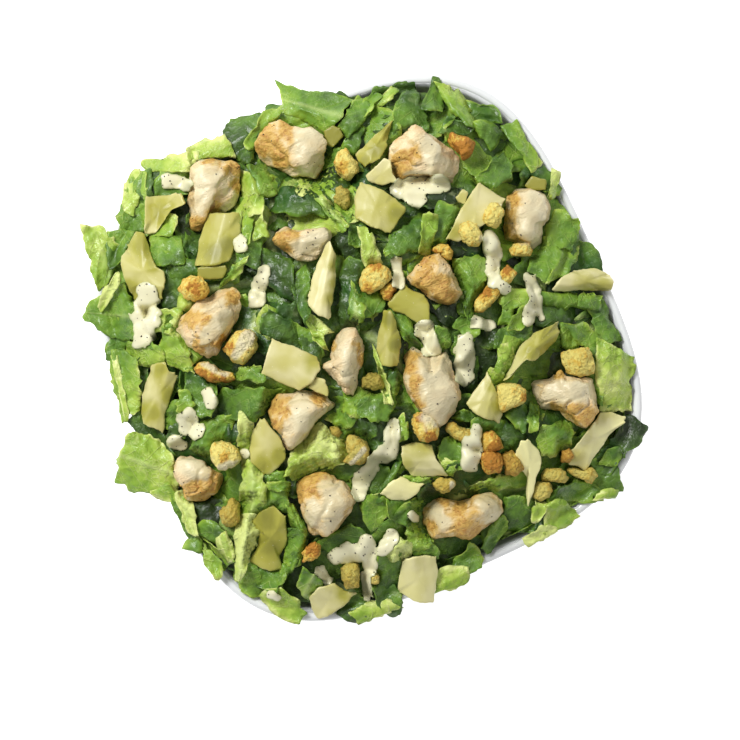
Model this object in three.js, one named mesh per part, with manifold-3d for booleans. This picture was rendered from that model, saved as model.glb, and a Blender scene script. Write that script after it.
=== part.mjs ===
// A chicken caesar salad, heaped in a rounded-square white bowl.
// Millimetres, +Z up. The origin is the middle of the bowl's foot, on the surface that it stands on,
// and X and Y run square to the bowl's sides.
import * as THREE from "three";
import { mergeVertices } from "three/addons/utils/BufferGeometryUtils.js";
import Module from "manifold-3d";

const wasm = await Module();
wasm.setup();

// Driving dimensions of the bowl
const BOWL_WIDTH = 210; // across the flat sides, outside the rim
const BOWL_HEIGHT = 58;
const WALL = 3.4;
const FOOT_WIDTH = 108;
const FOOT_HEIGHT = 3;
const FLOOR_THICKNESS = 6;
const CORNER_EXPONENT = 3.5; // 2 would be a circle; a higher number is a squarer bowl
const SEGMENTS = 44; // of the bowl and of the heap, so that they fit
const WALL_STEPS = 4;
const FOOT_SPREAD = 0.78; // how far out the wall leaves the foot flat, as a share of the foot's width
const WALL_BELLY = [0.47, 0.42]; // where the wall turns upwards, as shares of the bowl's width and height
const LIP_SIDE = 0.32; // how wide the rim's flat top is to each side, in wall thicknesses
const LIP_DROP = 0.12; // and how far its edges lie below its middle
const TOP = new THREE.Vector3(0, 0, 1);

// Driving dimensions of the heap
const HEAP_RISE = 27; // of the middle above the rim
const HEAP_EDGE = -2; // of the leaves at the wall, against the rim
const HEAP_RINGS = 7;
const HEAP_TOP_SETTLE = 3; // the wall side of the heap ends this far below the rim
const OVERHANG_BLEND = 3; // leaves this far past the wall lie fully over the rim
const OVERHANG_CLEAR = 1.5; // height of their underside above the rim
const HEAP_LUMP = 3.4;
const HEAP_LUMP_SPACING = 17;
const HEAP_DOME_POWER = 2.6; // 2 would be a round dome; a higher number is flatter in the middle
const HEAP_LUMP_FADE = 0.5; // share of the lumps' height that is lost at the wall
const LEAF_THICK = 4; // of the layer of leaf tips that lies over the rim
const EDGE_STEP = 0.5; // between the points that round its edge
const WALL_GAP = 0.7;
const GAP = 0.35; // between pieces that touch

// The photograph: its scale on the rim's plane, the bowl's middle in it, and how far the bowl is turned
const PIXEL = BOWL_WIDTH / 490;
const PHOTO_MIDDLE = [369, 348];
const BOWL_TURN = THREE.MathUtils.degToRad(24.35);
const VIEW_DISTANCE = 1150; // from the lens down to the rim's plane

// Leaf tips that pass the rim: the pixel of each tip, and how wide it is in degrees
const LEAF_TIPS = [
  { tip: [277, 80], width: 9 },
  { tip: [222, 128], width: 8 },
  { tip: [160, 160], width: 9 },
  { tip: [126, 186], width: 8 },
  { tip: [84, 228], width: 5 },
  { tip: [88, 316], width: 6 },
  { tip: [118, 470], width: 7 },
  { tip: [188, 546], width: 5 },
  { tip: [217, 576], width: 4 },
  { tip: [300, 619], width: 5 },
  { tip: [362, 619], width: 7 },
  { tip: [420, 603], width: 8 },
  { tip: [463, 583], width: 5 },
  { tip: [530, 541], width: 4 },
  { tip: [575, 517], width: 5 },
  { tip: [621, 490], width: 5 },
  { tip: [642, 433], width: 4 },
];

// Pieces of chicken: the pixel of the middle, length x width x height, and the turn of the length
const CHICKEN = [
  { at: [290, 148], size: [30, 23, 17], turn: -12 },
  { at: [214, 190], size: [30, 22, 17], turn: 72 },
  { at: [303, 244], size: [26, 15, 12], turn: -3 },
  { at: [424, 153], size: [33, 23, 18], turn: -20 },
  { at: [527, 217], size: [26, 21, 16], turn: 84 },
  { at: [436, 280], size: [26, 22, 15], turn: -22 },
  { at: [210, 323], size: [30, 26, 17], turn: 48 },
  { at: [346, 361], size: [31, 19, 16], turn: 76 },
  { at: [300, 419], size: [30, 23, 16], turn: 28 },
  { at: [438, 387], size: [38, 23, 17], turn: -76 },
  { at: [565, 400], size: [28, 24, 17], turn: -14 },
  { at: [197, 478], size: [23, 21, 16], turn: -22 },
  { at: [325, 505], size: [29, 25, 17], turn: -72 },
  { at: [463, 515], size: [36, 21, 15], turn: 9 },
];

// Croutons, in the same terms. lift is how far one lies above its usual place, on what is under it
const CROUTONS = [
  { at: [195, 290], size: [13.5, 12.5, 11], turn: 10, lift: 2 },
  { at: [346, 166], size: [13.5, 12, 11], turn: 60, lift: 0 },
  { at: [460, 146], size: [13, 12, 10], turn: 20, lift: 0 },
  { at: [493, 216], size: [11, 9, 9], turn: 80, lift: 4 },
  { at: [471, 234], size: [12, 11, 10], turn: 15, lift: 4 },
  { at: [377, 280], size: [14, 13, 11], turn: 10, lift: 1 },
  { at: [497, 287], size: [22, 9, 8], turn: 43, lift: 1 },
  { at: [578, 361], size: [15, 13, 11], turn: -8, lift: 1 },
  { at: [509, 398], size: [13, 12, 11], turn: 6, lift: 1 },
  { at: [426, 428], size: [14.5, 11, 11], turn: 82, lift: 3 },
  { at: [462, 433], size: [15, 8, 8], turn: -25, lift: 0 },
  { at: [491, 442], size: [9.5, 9, 9], turn: 0, lift: 0 },
  { at: [492, 462], size: [10, 10, 9.5], turn: 30, lift: 1 },
  { at: [512, 464], size: [11, 9, 9], turn: 80, lift: 0 },
  { at: [357, 452], size: [13, 12, 10], turn: 75, lift: 0 },
  { at: [226, 456], size: [15, 13, 12], turn: -20, lift: 1 },
  { at: [229, 513], size: [12, 9.5, 10], turn: 78, lift: -1 },
  { at: [446, 484], size: [12, 8, 8], turn: 10, lift: 0 },
  { at: [552, 475], size: [13, 7, 7], turn: -8, lift: 0 },
  { at: [359, 577], size: [14.5, 11, 10], turn: 0, lift: 0 },
  { at: [214, 373], size: [18.5, 8, 8], turn: -14, lift: 0 },
  { at: [238, 347], size: [17, 15, 12], turn: 62, lift: 0 },
];

// Shavings of cheese: the pixels of the corners, how far the middle arches up, and how far the whole lies
// above its usual place. Those with roll are rolled along their length, and the others across it
const CHEESE = [
  { corners: [[145, 196], [183, 192], [174, 232], [144, 237]], arch: -3, lift: 2, roll: true },
  { corners: [[207, 212], [243, 213], [229, 263], [193, 262]], arch: 3.5, lift: 3, roll: true },
  { corners: [[128, 238], [158, 246], [167, 297], [137, 305]], arch: 5, lift: 2, roll: false },
  { corners: [[324, 244], [337, 252], [330, 322], [307, 300]], arch: 3, lift: 3, roll: true },
  { corners: [[271, 338], [319, 362], [297, 392], [261, 372]], arch: 2, lift: 3, roll: false },
  { corners: [[362, 180], [404, 194], [388, 236], [354, 214]], arch: 2.5, lift: 2, roll: true },
  { corners: [[394, 121], [404, 131], [368, 172], [357, 150]], arch: 3.5, lift: 2, roll: false },
  { corners: [[479, 181], [509, 199], [470, 250], [440, 246]], arch: 2.5, lift: 2, roll: false },
  { corners: [[554, 290], [570, 268], [611, 274], [606, 294]], arch: 5, lift: 3, roll: true },
  { corners: [[530, 327], [560, 321], [545, 362], [503, 382]], arch: 5, lift: 3, roll: true },
  { corners: [[484, 370], [501, 392], [498, 423], [465, 404]], arch: 3, lift: 2, roll: true },
  { corners: [[383, 311], [400, 318], [398, 369], [376, 366]], arch: 3, lift: 2, roll: true },
  { corners: [[402, 285], [430, 297], [424, 325], [387, 307]], arch: 1.5, lift: 1, roll: false },
  { corners: [[602, 410], [630, 418], [589, 471], [568, 454]], arch: 5, lift: 4, roll: false },
  { corners: [[515, 452], [528, 432], [545, 462], [528, 506]], arch: 2, lift: 3, roll: true },
  { corners: [[403, 444], [434, 446], [450, 475], [412, 477]], arch: 3.5, lift: 2, roll: false },
  { corners: [[378, 495], [402, 477], [425, 484], [404, 502]], arch: 1.5, lift: 3, roll: true },
  { corners: [[402, 556], [437, 552], [434, 604], [397, 592]], arch: 2, lift: 3, roll: true },
  { corners: [[307, 598], [331, 586], [357, 596], [320, 620]], arch: 2, lift: 2, roll: true },
  { corners: [[152, 361], [181, 371], [166, 436], [141, 418]], arch: 3.5, lift: 3, roll: true },
  { corners: [[262, 416], [287, 452], [266, 476], [250, 445]], arch: 2, lift: 0, roll: true },
  { corners: [[250, 515], [288, 512], [280, 572], [246, 560]], arch: 2.5, lift: -1, roll: true },
];
const CHEESE_THICK = 1.9;
const CHEESE_STEPS = 4; // along the curve
const CHICKEN_STEPS = [3, 2, 2];
const CROUTON_STEPS = [2, 2, 1];
const CHEESE_EDGE_BOW = 0.05; // how far the sides bow out, as a share of the size
const CHEESE_SPREAD = 0.25; // how much wider the room of a shaving is, per millimetre of gap
const CHEESE_HEADROOM = 3; // and how much higher it is, per millimetre of gap
const CHUNK_LUMPS = 1.3; // lumps of a chunk or crumb, from its middle to its side
const LEAN_SPREAD = [3.1, 1.7]; // spread the pieces' seeds, so that each leans its own way

// Colours, as seen in the photograph
const PORCELAIN = new THREE.MeshStandardMaterial({ color: 0xf2f3f2, roughness: 0.15 });
const LETTUCE = new THREE.MeshStandardMaterial({ color: 0x5f9a38, roughness: 0.45 });
const MEAT = new THREE.MeshStandardMaterial({ color: 0xd9b27e, roughness: 0.5 });
const BREAD = new THREE.MeshStandardMaterial({ color: 0xd6a657, roughness: 0.8 });
const HARD_CHEESE = new THREE.MeshStandardMaterial({ color: 0xdcd490, roughness: 0.45 });

// A number from 0 to 1 that is always the same for the same three whole numbers
function scatter(i, j, k) {
  const wave = Math.sin(i * 127.1 + j * 311.7 + k * 74.7) * 43758.5453;
  return wave - Math.floor(wave);
}

// Smooth noise from -1 to 1, with lumps one unit across
function lumps(x, y, z) {
  const [i, j, k] = [x, y, z].map(Math.floor);
  const [u, v, w] = [x - i, y - j, z - k].map((t) => t * t * (3 - 2 * t));
  const mix = THREE.MathUtils.lerp;
  const row = (b, c) => mix(scatter(i, j + b, k + c), scatter(i + 1, j + b, k + c), u);
  return 2 * mix(mix(row(0, 0), row(1, 0), v), mix(row(0, 1), row(1, 1), v), w) - 1;
}

// The radius, towards an angle, of a rounded square that is 2 x half across its sides
function squareRadius(half, angle) {
  const power = CORNER_EXPONENT;
  const reach = Math.abs(Math.cos(angle)) ** power + Math.abs(Math.sin(angle)) ** power;
  return half / reach ** (1 / power);
}

// A closed shell round Z. place(step, angle) gives each point, and the first and last steps are on the axis
function shellRoundZ(steps, segments, place) {
  const profile = Array.from({ length: steps }, (_, j) => new THREE.Vector2(j % (steps - 1) ? 1 : 0, j));
  const geometry = new THREE.LatheGeometry(profile, segments);
  const position = geometry.getAttribute("position");
  for (let i = 0; i <= segments; i++) {
    const angle = (2 * Math.PI * (i % segments)) / segments;
    for (let j = 0; j < steps; j++) {
      const [radius, z] = place(j, angle);
      position.setXYZ(i * steps + j, radius * Math.cos(angle), radius * Math.sin(angle), z);
    }
  }
  return geometry;
}

// A geometry as a manifold-3d solid: positions only, merged, without the slivers at a lathe's poles
function solidOf(geometry) {
  const bare = new THREE.BufferGeometry().setAttribute("position", geometry.getAttribute("position").clone());
  bare.setIndex(geometry.getIndex());
  const merged = mergeVertices(bare.index ? bare.toNonIndexed() : bare, 1e-4);
  const corners = merged.index.array;
  const kept = [];
  for (let i = 0; i < corners.length; i += 3) {
    const [a, b, c] = corners.slice(i, i + 3);
    if (a !== b && b !== c && c !== a) kept.push(a, b, c);
  }
  const vertProperties = Float32Array.from(merged.getAttribute("position").array);
  return new wasm.Manifold(new wasm.Mesh({ numProp: 3, vertProperties, triVerts: Uint32Array.from(kept) }));
}

// The largest body of a solid
function largest(solid) {
  return solid.decompose().reduce((best, body) => (body.volume() > best.volume() ? body : best));
}

// A solid as a geometry
function geometryOf(solid) {
  const { numProp, numVert, vertProperties, triVerts } = solid.getMesh();
  const points = new Float32Array(numVert * 3);
  for (let i = 0; i < numVert; i++) points.set(vertProperties.subarray(i * numProp, i * numProp + 3), i * 3);
  const geometry = new THREE.BufferGeometry().setAttribute("position", new THREE.BufferAttribute(points, 3));
  geometry.setIndex(new THREE.BufferAttribute(triVerts, 1));
  geometry.computeVertexNormals();
  return geometry;
}

// The outside of the bowl's wall, from the foot to the rim, as half width against height
const outside = new THREE.CubicBezierCurve(
  new THREE.Vector2(FOOT_WIDTH / 2, FOOT_HEIGHT),
  new THREE.Vector2(FOOT_WIDTH * FOOT_SPREAD, FOOT_HEIGHT),
  new THREE.Vector2(BOWL_WIDTH * WALL_BELLY[0], BOWL_HEIGHT * WALL_BELLY[1]),
  new THREE.Vector2(BOWL_WIDTH / 2, BOWL_HEIGHT - WALL / 2),
);

// The same wall moved inwards by a distance along its normal
function wallPoints(inwards) {
  return Array.from({ length: WALL_STEPS + 1 }, (_, i) => {
    const along = outside.getTangent(i / WALL_STEPS);
    const normal = new THREE.Vector2(-along.y, along.x).multiplyScalar(inwards);
    return outside.getPoint(i / WALL_STEPS).add(normal);
  });
}

// The bowl's profile, from the middle of the foot out and over the rim to the middle of the floor
function bowlProfile() {
  const foot = [new THREE.Vector2(0, 0), new THREE.Vector2(FOOT_WIDTH / 2 - 1, 0)];
  const rim = BOWL_WIDTH / 2 - WALL / 2;
  const top = [
    new THREE.Vector2(rim + WALL * LIP_SIDE, BOWL_HEIGHT - WALL * LIP_DROP),
    new THREE.Vector2(rim, BOWL_HEIGHT),
    new THREE.Vector2(rim - WALL * LIP_SIDE, BOWL_HEIGHT - WALL * LIP_DROP),
  ];
  const inner = wallPoints(WALL).reverse();
  return [...foot, ...wallPoints(0), ...top, ...inner, new THREE.Vector2(0, FLOOR_THICKNESS)];
}

function makeBowl() {
  const profile = bowlProfile();
  const place = (j, angle) => [squareRadius(profile[j].x, angle), profile[j].y];
  return shellRoundZ(profile.length, SEGMENTS, place);
}

// A pixel of the photograph as a place at a height, turned into the bowl's own axes
function placeOfPixel([x, y], height) {
  const nearer = (VIEW_DISTANCE - (height - BOWL_HEIGHT)) / VIEW_DISTANCE;
  const flat = new THREE.Vector3(x - PHOTO_MIDDLE[0], PHOTO_MIDDLE[1] - y, 0).multiplyScalar(PIXEL * nearer);
  return flat.applyAxisAngle(TOP, -BOWL_TURN).setZ(height);
}

const tips = LEAF_TIPS.map(({ tip, width }) => {
  const at = placeOfPixel(tip, BOWL_HEIGHT + LEAF_THICK);
  return { angle: Math.atan2(at.y, at.x), reach: Math.hypot(at.x, at.y), width: THREE.MathUtils.degToRad(width) };
});

// How far the heap reaches towards an angle: just inside the wall, or out to a leaf tip
function heapReach(angle) {
  const inside = squareRadius(BOWL_WIDTH / 2 - WALL - WALL_GAP, angle);
  const out = tips.map((tip) => {
    const away = Math.atan2(Math.sin(angle - tip.angle), Math.cos(angle - tip.angle));
    return inside + (tip.reach - inside) * Math.max(0, 1 - (away / tip.width) ** 2);
  });
  return Math.max(inside, ...out);
}

// The height of the heap's top at a place
function heapTop(x, y) {
  const angle = Math.atan2(y, x);
  const share = Math.min(1, Math.hypot(x, y) / squareRadius(BOWL_WIDTH / 2 - WALL, angle));
  const dome = HEAP_EDGE + (HEAP_RISE - HEAP_EDGE) * (1 - share ** HEAP_DOME_POWER);
  const rough = lumps(x / HEAP_LUMP_SPACING, y / HEAP_LUMP_SPACING, 0.5);
  return BOWL_HEIGHT + dome + HEAP_LUMP * rough * (1 - HEAP_LUMP_FADE * share);
}

// The heap's points from the wall's edge outwards and back over the top to the middle
function heapRim(step, angle) {
  const reach = heapReach(angle);
  const inside = squareRadius(BOWL_WIDTH / 2 - WALL - WALL_GAP, angle);
  const over = Math.min(1, (reach - inside) / OVERHANG_BLEND);
  const edge = BOWL_HEIGHT + THREE.MathUtils.lerp(-HEAP_TOP_SETTLE, OVERHANG_CLEAR, over);
  if (step === 0) return [inside - EDGE_STEP, edge];
  if (step === 1) return [reach, edge + EDGE_STEP + over];
  if (step === HEAP_RINGS + 2) return [0, heapTop(0, 0)];
  const radius = (reach - 2 * EDGE_STEP) * (1 - (step - 2) / HEAP_RINGS);
  const top = heapTop(radius * Math.cos(angle), radius * Math.sin(angle));
  return [radius, Math.max(top, edge + EDGE_STEP + LEAF_THICK * over)];
}

// The heap: up the inside of the wall, out over the rim where leaves pass it, and back over the top
function makeHeap() {
  const wall = wallPoints(WALL + WALL_GAP);
  wall[wall.length - 1].y -= HEAP_TOP_SETTLE;
  const place = (j, angle) => {
    if (j === 0) return [0, FLOOR_THICKNESS + WALL_GAP];
    if (j <= wall.length) return [squareRadius(wall[j - 1].x, angle), wall[j - 1].y];
    return heapRim(j - wall.length - 1, angle);
  };
  return shellRoundZ(1 + wall.length + 2 + HEAP_RINGS + 1, SEGMENTS, place);
}

// A lump with flat-ish sides: a box drawn in towards an ellipsoid by roundness, and made uneven
function makeChunk(size, roundness, unevenness, steps, seed, grow) {
  const geometry = new THREE.BoxGeometry(...size, ...steps);
  const position = geometry.getAttribute("position");
  const half = new THREE.Vector3(...size).multiplyScalar(0.5);
  const room = half.clone().addScalar(grow);
  const point = new THREE.Vector3();
  for (let i = 0; i < position.count; i++) {
    point.fromBufferAttribute(position, i).divide(half);
    const ball = point.clone().normalize();
    const [x, y, z] = point.clone().multiplyScalar(CHUNK_LUMPS).toArray();
    const bump = 1 + unevenness * lumps(x + seed, y - seed, z + 2 * seed);
    const lean = 1 + unevenness * lumps(seed * LEAN_SPREAD[0], seed * LEAN_SPREAD[1], 0) * point.x;
    point.lerp(ball, roundness).multiplyScalar(bump);
    point.y *= lean;
    position.setXYZ(i, ...point.multiply(room).toArray());
  }
  return geometry;
}

// A thin curved shaving between four corners, about the middle of them
function makeShaving(corners, arch, roll, grow) {
  const steps = roll ? [1, CHEESE_STEPS] : [CHEESE_STEPS, 1];
  const geometry = new THREE.BoxGeometry(1, 1, 1, ...steps, 1);
  const position = geometry.getAttribute("position");
  const middle = middleOf(corners);
  for (let i = 0; i < position.count; i++) {
    const [u, v] = [position.getX(i), position.getY(i)].map((t) => t * (1 + CHEESE_SPREAD * grow));
    const left = corners[0].clone().lerp(corners[3], u + 0.5);
    const right = corners[1].clone().lerp(corners[2], u + 0.5);
    const bow = 1 + CHEESE_EDGE_BOW * (1 - 4 * u * u) * 4 * v * v;
    const point = left.lerp(right, 0.5 + v).sub(middle).multiplyScalar(bow);
    const across = roll ? v : u;
    const rise = arch * (1 - 4 * across * across) - arch * 0.5;
    const layer = position.getZ(i) * (CHEESE_THICK + CHEESE_HEADROOM * grow);
    position.setXYZ(i, point.x, point.y, point.z + rise + layer);
  }
  return geometry;
}

function middleOf(points) {
  return points.reduce((sum, point) => sum.clone().add(point), new THREE.Vector3()).divideScalar(points.length);
}

// A mesh of the salad, standing at a place and turned about Z
function pieceOf(name, geometry, material, at = new THREE.Vector3(), turn = 0) {
  const mesh = new THREE.Mesh(geometry, material);
  mesh.name = name;
  mesh.position.copy(at);
  mesh.rotation.z = turn;
  mesh.updateMatrixWorld(true);
  return mesh;
}

// A topping, with the room that it needs in the heap and in the toppings that give way to it
function toppingOf(name, make, material, at, turn) {
  const mesh = pieceOf(name, make(0), material, at, turn);
  return { mesh, room: solidOf(make(GAP).applyMatrix4(mesh.matrixWorld)) };
}

function numbered(word, index) {
  return word + "_" + String(index + 1).padStart(2, "0");
}

// The heap's top under a pixel, found by stepping along the line of sight
function onHeap(pixel, lift) {
  let at = placeOfPixel(pixel, BOWL_HEIGHT);
  for (let i = 0; i < 4; i++) at = placeOfPixel(pixel, heapTop(at.x, at.y) + lift);
  return at;
}

function chunkTopping(word, material, { at, size, turn, lift = 0 }, index, shape) {
  const make = (grow) => makeChunk(size, shape.roundness, shape.unevenness, shape.steps, index + shape.seed, grow);
  const place = onHeap(at, lift + size[2] * shape.showing);
  return toppingOf(numbered(word, index), make, material, place, THREE.MathUtils.degToRad(turn) - BOWL_TURN);
}

function cheeseTopping({ corners, arch, lift, roll }, index) {
  const places = corners.map((corner) => onHeap(corner, lift + CHEESE_THICK / 2));
  const make = (grow) => makeShaving(places, arch, roll, grow);
  return toppingOf(numbered("cheese", index), make, HARD_CHEESE, middleOf(places), 0);
}

// A mesh's solid in the salad's frame
function placedSolid(mesh) {
  return solidOf(mesh.geometry.clone().applyMatrix4(mesh.matrixWorld));
}

// The largest part of a mesh's solid that clears all those in the way
function cutClear(mesh, others) {
  const solid = placedSolid(mesh);
  const inTheWay = others.filter((other) => !other.intersect(solid).isEmpty());
  if (!inTheWay.length) return mesh.geometry;
  const left = largest(inTheWay.reduce((rest, other) => rest.subtract(other), solid));
  return geometryOf(left).applyMatrix4(mesh.matrixWorld.clone().invert());
}

const chickenShape = { roundness: 0.34, unevenness: 0.16, steps: CHICKEN_STEPS, seed: 1.37, showing: 0.16 };
const croutonShape = { roundness: 0.5, unevenness: 0.12, steps: CROUTON_STEPS, seed: 21.9, showing: 0.22 };

const bowl = pieceOf("bowl", makeBowl(), PORCELAIN);
const heap = pieceOf("lettuce_heap", makeHeap(), LETTUCE);
const toppings = [
  ...CHEESE.map(cheeseTopping),
  ...CHICKEN.map((piece, i) => chunkTopping("chicken", MEAT, piece, i, chickenShape)),
  ...CROUTONS.map((piece, i) => chunkTopping("crouton", BREAD, piece, i, croutonShape)),
];

// Each piece gives way to those before it, and the heap to all of them
const taken = [0, GAP].map((rise) => solidOf(bowl.geometry.clone().translate(0, 0, rise)));
for (const { mesh, room } of toppings) {
  mesh.geometry = cutClear(mesh, taken);
  taken.push(room);
}
heap.geometry = cutClear(heap, taken);

const salad = new THREE.Group();
salad.add(bowl, heap, ...toppings.map(({ mesh }) => mesh));
export default salad;
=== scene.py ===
"""A chicken caesar salad, heaped in a rounded-square white bowl and seen from straight above.

Lengths are in metres, in the frame of the solids: +Z up, the origin under the middle of the bowl's foot.
Where a length is in millimetres or in pixels of the photograph, the words at its class or table say so.
"""
import sys
import logging
import math
from dataclasses import dataclass, field
from enum import Enum
from typing import Callable, Iterable, Optional, Sequence, Union

import bmesh
import bpy
import numpy as np
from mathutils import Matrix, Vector
from mathutils.bvhtree import BVHTree


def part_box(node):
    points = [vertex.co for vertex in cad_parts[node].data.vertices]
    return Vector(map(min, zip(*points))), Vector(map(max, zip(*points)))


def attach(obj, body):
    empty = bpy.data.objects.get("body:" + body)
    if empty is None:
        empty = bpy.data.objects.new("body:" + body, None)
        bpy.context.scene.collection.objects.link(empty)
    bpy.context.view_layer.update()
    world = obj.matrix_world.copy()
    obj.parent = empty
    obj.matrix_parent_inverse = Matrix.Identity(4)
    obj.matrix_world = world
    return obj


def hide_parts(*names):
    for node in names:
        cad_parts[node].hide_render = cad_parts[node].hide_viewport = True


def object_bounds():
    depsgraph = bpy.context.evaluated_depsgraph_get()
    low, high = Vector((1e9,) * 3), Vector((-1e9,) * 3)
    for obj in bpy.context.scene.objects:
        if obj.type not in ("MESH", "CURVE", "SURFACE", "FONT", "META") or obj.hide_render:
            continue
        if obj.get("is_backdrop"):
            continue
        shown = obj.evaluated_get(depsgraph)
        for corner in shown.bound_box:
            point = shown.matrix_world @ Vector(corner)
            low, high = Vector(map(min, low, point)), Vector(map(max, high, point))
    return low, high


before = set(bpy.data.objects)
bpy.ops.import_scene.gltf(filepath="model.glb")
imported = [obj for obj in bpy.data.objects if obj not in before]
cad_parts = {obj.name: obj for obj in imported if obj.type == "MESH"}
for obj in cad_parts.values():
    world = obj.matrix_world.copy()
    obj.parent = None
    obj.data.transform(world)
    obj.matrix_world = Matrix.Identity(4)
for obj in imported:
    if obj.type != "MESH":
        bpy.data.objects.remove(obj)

CAD_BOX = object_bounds()
LOG = logging.getLogger("salad")
MM = 0.001
Pixel = tuple[float, float]
Colour = tuple[float, float, float]
Place = tuple[float, float, float]
Span = tuple[float, float]
Stroke = tuple[float, float, float, float, float]
Array = np.ndarray
Values = Union[float, Array]
Piece = bpy.types.Object
Material = bpy.types.Material

# The bowl, as in the solids
BOWL_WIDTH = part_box("bowl")[1].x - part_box("bowl")[0].x
BOWL_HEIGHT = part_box("bowl")[1].z
WALL = 3.4 * MM
CORNER_EXPONENT = 3.5

# The photograph: its scale on the rim's plane, its middle, the bowl's middle and turn in it
FRAME_PIXELS = 740
PIXEL = BOWL_WIDTH / 490
BOWL_MIDDLE: Pixel = (369.0, 348.0)
BOWL_TURN = math.radians(24.35)
VIEW_DISTANCE = 1.15
SENSOR = 36.0

# How often a place and the height of the heap under it are worked out from each other
SIGHT_ROUNDS = 3


def scatter(i: Array, j: Array, k: Array) -> Array:
    """Numbers from 0 to 1 that are always the same for the same whole numbers."""
    wave = np.sin(i * 127.1 + j * 311.7 + k * 74.7) * 43758.5453
    return wave - np.floor(wave)


def lumps(x: Array, y: Array, z: Values) -> Array:
    """Smooth noise from -1 to 1 whose lumps are one unit across.

    Args:
        x, y, z: the coordinates, in lumps.

    Returns:
        The noise at each place.
    """
    x, y, z = np.broadcast_arrays(*(np.asarray(c, float) for c in (x, y, z)))
    i, j, k = np.floor(x), np.floor(y), np.floor(z)
    u, v, w = (t * t * (3 - 2 * t) for t in (x - i, y - j, z - k))

    def row(b: int, c: int) -> Array:
        first = scatter(i, j + b, k + c)
        return first + (scatter(i + 1, j + b, k + c) - first) * u

    low = row(0, 0) + (row(1, 0) - row(0, 0)) * v
    high = row(0, 1) + (row(1, 1) - row(0, 1)) * v
    return 2 * (low + (high - low) * w) - 1


def rough(points: Array, size: float, octaves: int, seed: float) -> Array:
    """Layered noise of about -1 to 1 at points in space.

    Args:
        points: an array of places, one a row.
        size: how wide the largest lumps are.
        octaves: how many layers, each half the size of the one before.
        seed: moves the noise, so that no two things share it.

    Returns:
        The noise at each place.
    """
    total, share = np.zeros(len(points)), 0.0
    for octave in range(octaves):
        p = points / size * 2**octave + seed * 7.31 + octave * 19.7
        total += lumps(p[:, 0], p[:, 1], p[:, 2]) / 2**octave
        share += 1 / 2**octave
    return total / share * 1.3


@dataclass(frozen=True)
class Relief:
    """Lumps on a surface: how high and how wide they are, and in how many layers."""

    height: float
    size: float
    layers: int = 2

    def on(self, points: Array, seed: float) -> Array:
        """How high they stand at each point."""
        return self.height * rough(points, self.size, self.layers, seed)


def smoothstep(low: float, high: float, value: Array) -> Array:
    """0 below low, 1 above high, and a smooth slope between."""
    t = np.clip((value - low) / (high - low), 0, 1)
    return t * t * (3 - 2 * t)


def square_radius(half: float, angle: Values) -> Values:
    """The radius, towards an angle, of a rounded square that is 2 x half across its sides."""
    reach = np.abs(np.cos(angle)) ** CORNER_EXPONENT + np.abs(np.sin(angle)) ** CORNER_EXPONENT
    return half / reach ** (1 / CORNER_EXPONENT)


class Heap:
    """The surface that the leaves and toppings lie on: a dome with lumps, as in the solids."""

    rise, edge, lump, spacing, power = 27 * MM, -2 * MM, 3.4 * MM, 17 * MM, 2.6

    @classmethod
    def share(cls, x: Array, y: Array) -> Array:
        """How far out a place is, from 0 in the middle to 1 at the wall's inside."""
        return np.hypot(x, y) / square_radius(BOWL_WIDTH / 2 - WALL, np.arctan2(y, x))

    @classmethod
    def height(cls, x: Array, y: Array) -> Array:
        """The height of the surface over a place."""
        share = np.minimum(1, cls.share(x, y))
        dome = cls.edge + (cls.rise - cls.edge) * (1 - share**cls.power)
        return BOWL_HEIGHT + dome + cls.lump * lumps(x / cls.spacing, y / cls.spacing, 0.5) * (1 - share / 2)


def pixel_size(height: Values) -> Values:
    """How wide a pixel of the photograph is at a height."""
    return PIXEL * (VIEW_DISTANCE - (height - BOWL_HEIGHT)) / VIEW_DISTANCE


def from_photo(right: Values, up: Values) -> tuple:
    """Metres right and up in the photograph from the bowl's middle, as x and y."""
    cos, sin = math.cos(BOWL_TURN), math.sin(BOWL_TURN)
    return right * cos + up * sin, up * cos - right * sin


def place_of(px: Array, py: Array, height: Values) -> tuple:
    """Where pixels of the photograph lie at a height.

    Args:
        px, py: the pixels.
        height: the height above the ground at each.

    Returns:
        The x and y of each place.
    """
    scale = pixel_size(height)
    return from_photo((px - BOWL_MIDDLE[0]) * scale, (BOWL_MIDDLE[1] - py) * scale)


def in_space(flat: Array, seed: float = 0.0) -> Array:
    """Pixels, one a row, as places in space at a height that a seed gives."""
    return np.column_stack([flat * PIXEL, np.full(len(flat), seed * MM)])


def place_on_heap(px: Array, py: Array, lift: Values = 0.0) -> tuple:
    """Where pixels of the photograph lie on the heap, as x, y and z."""
    z = np.full(np.shape(px), BOWL_HEIGHT)
    for _ in range(SIGHT_ROUNDS):
        x, y = place_of(px, py, z)
        z = Heap.height(x, y) + lift
    return x, y, z


# Materials

Input = Union["Socket", float, tuple]


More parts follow.
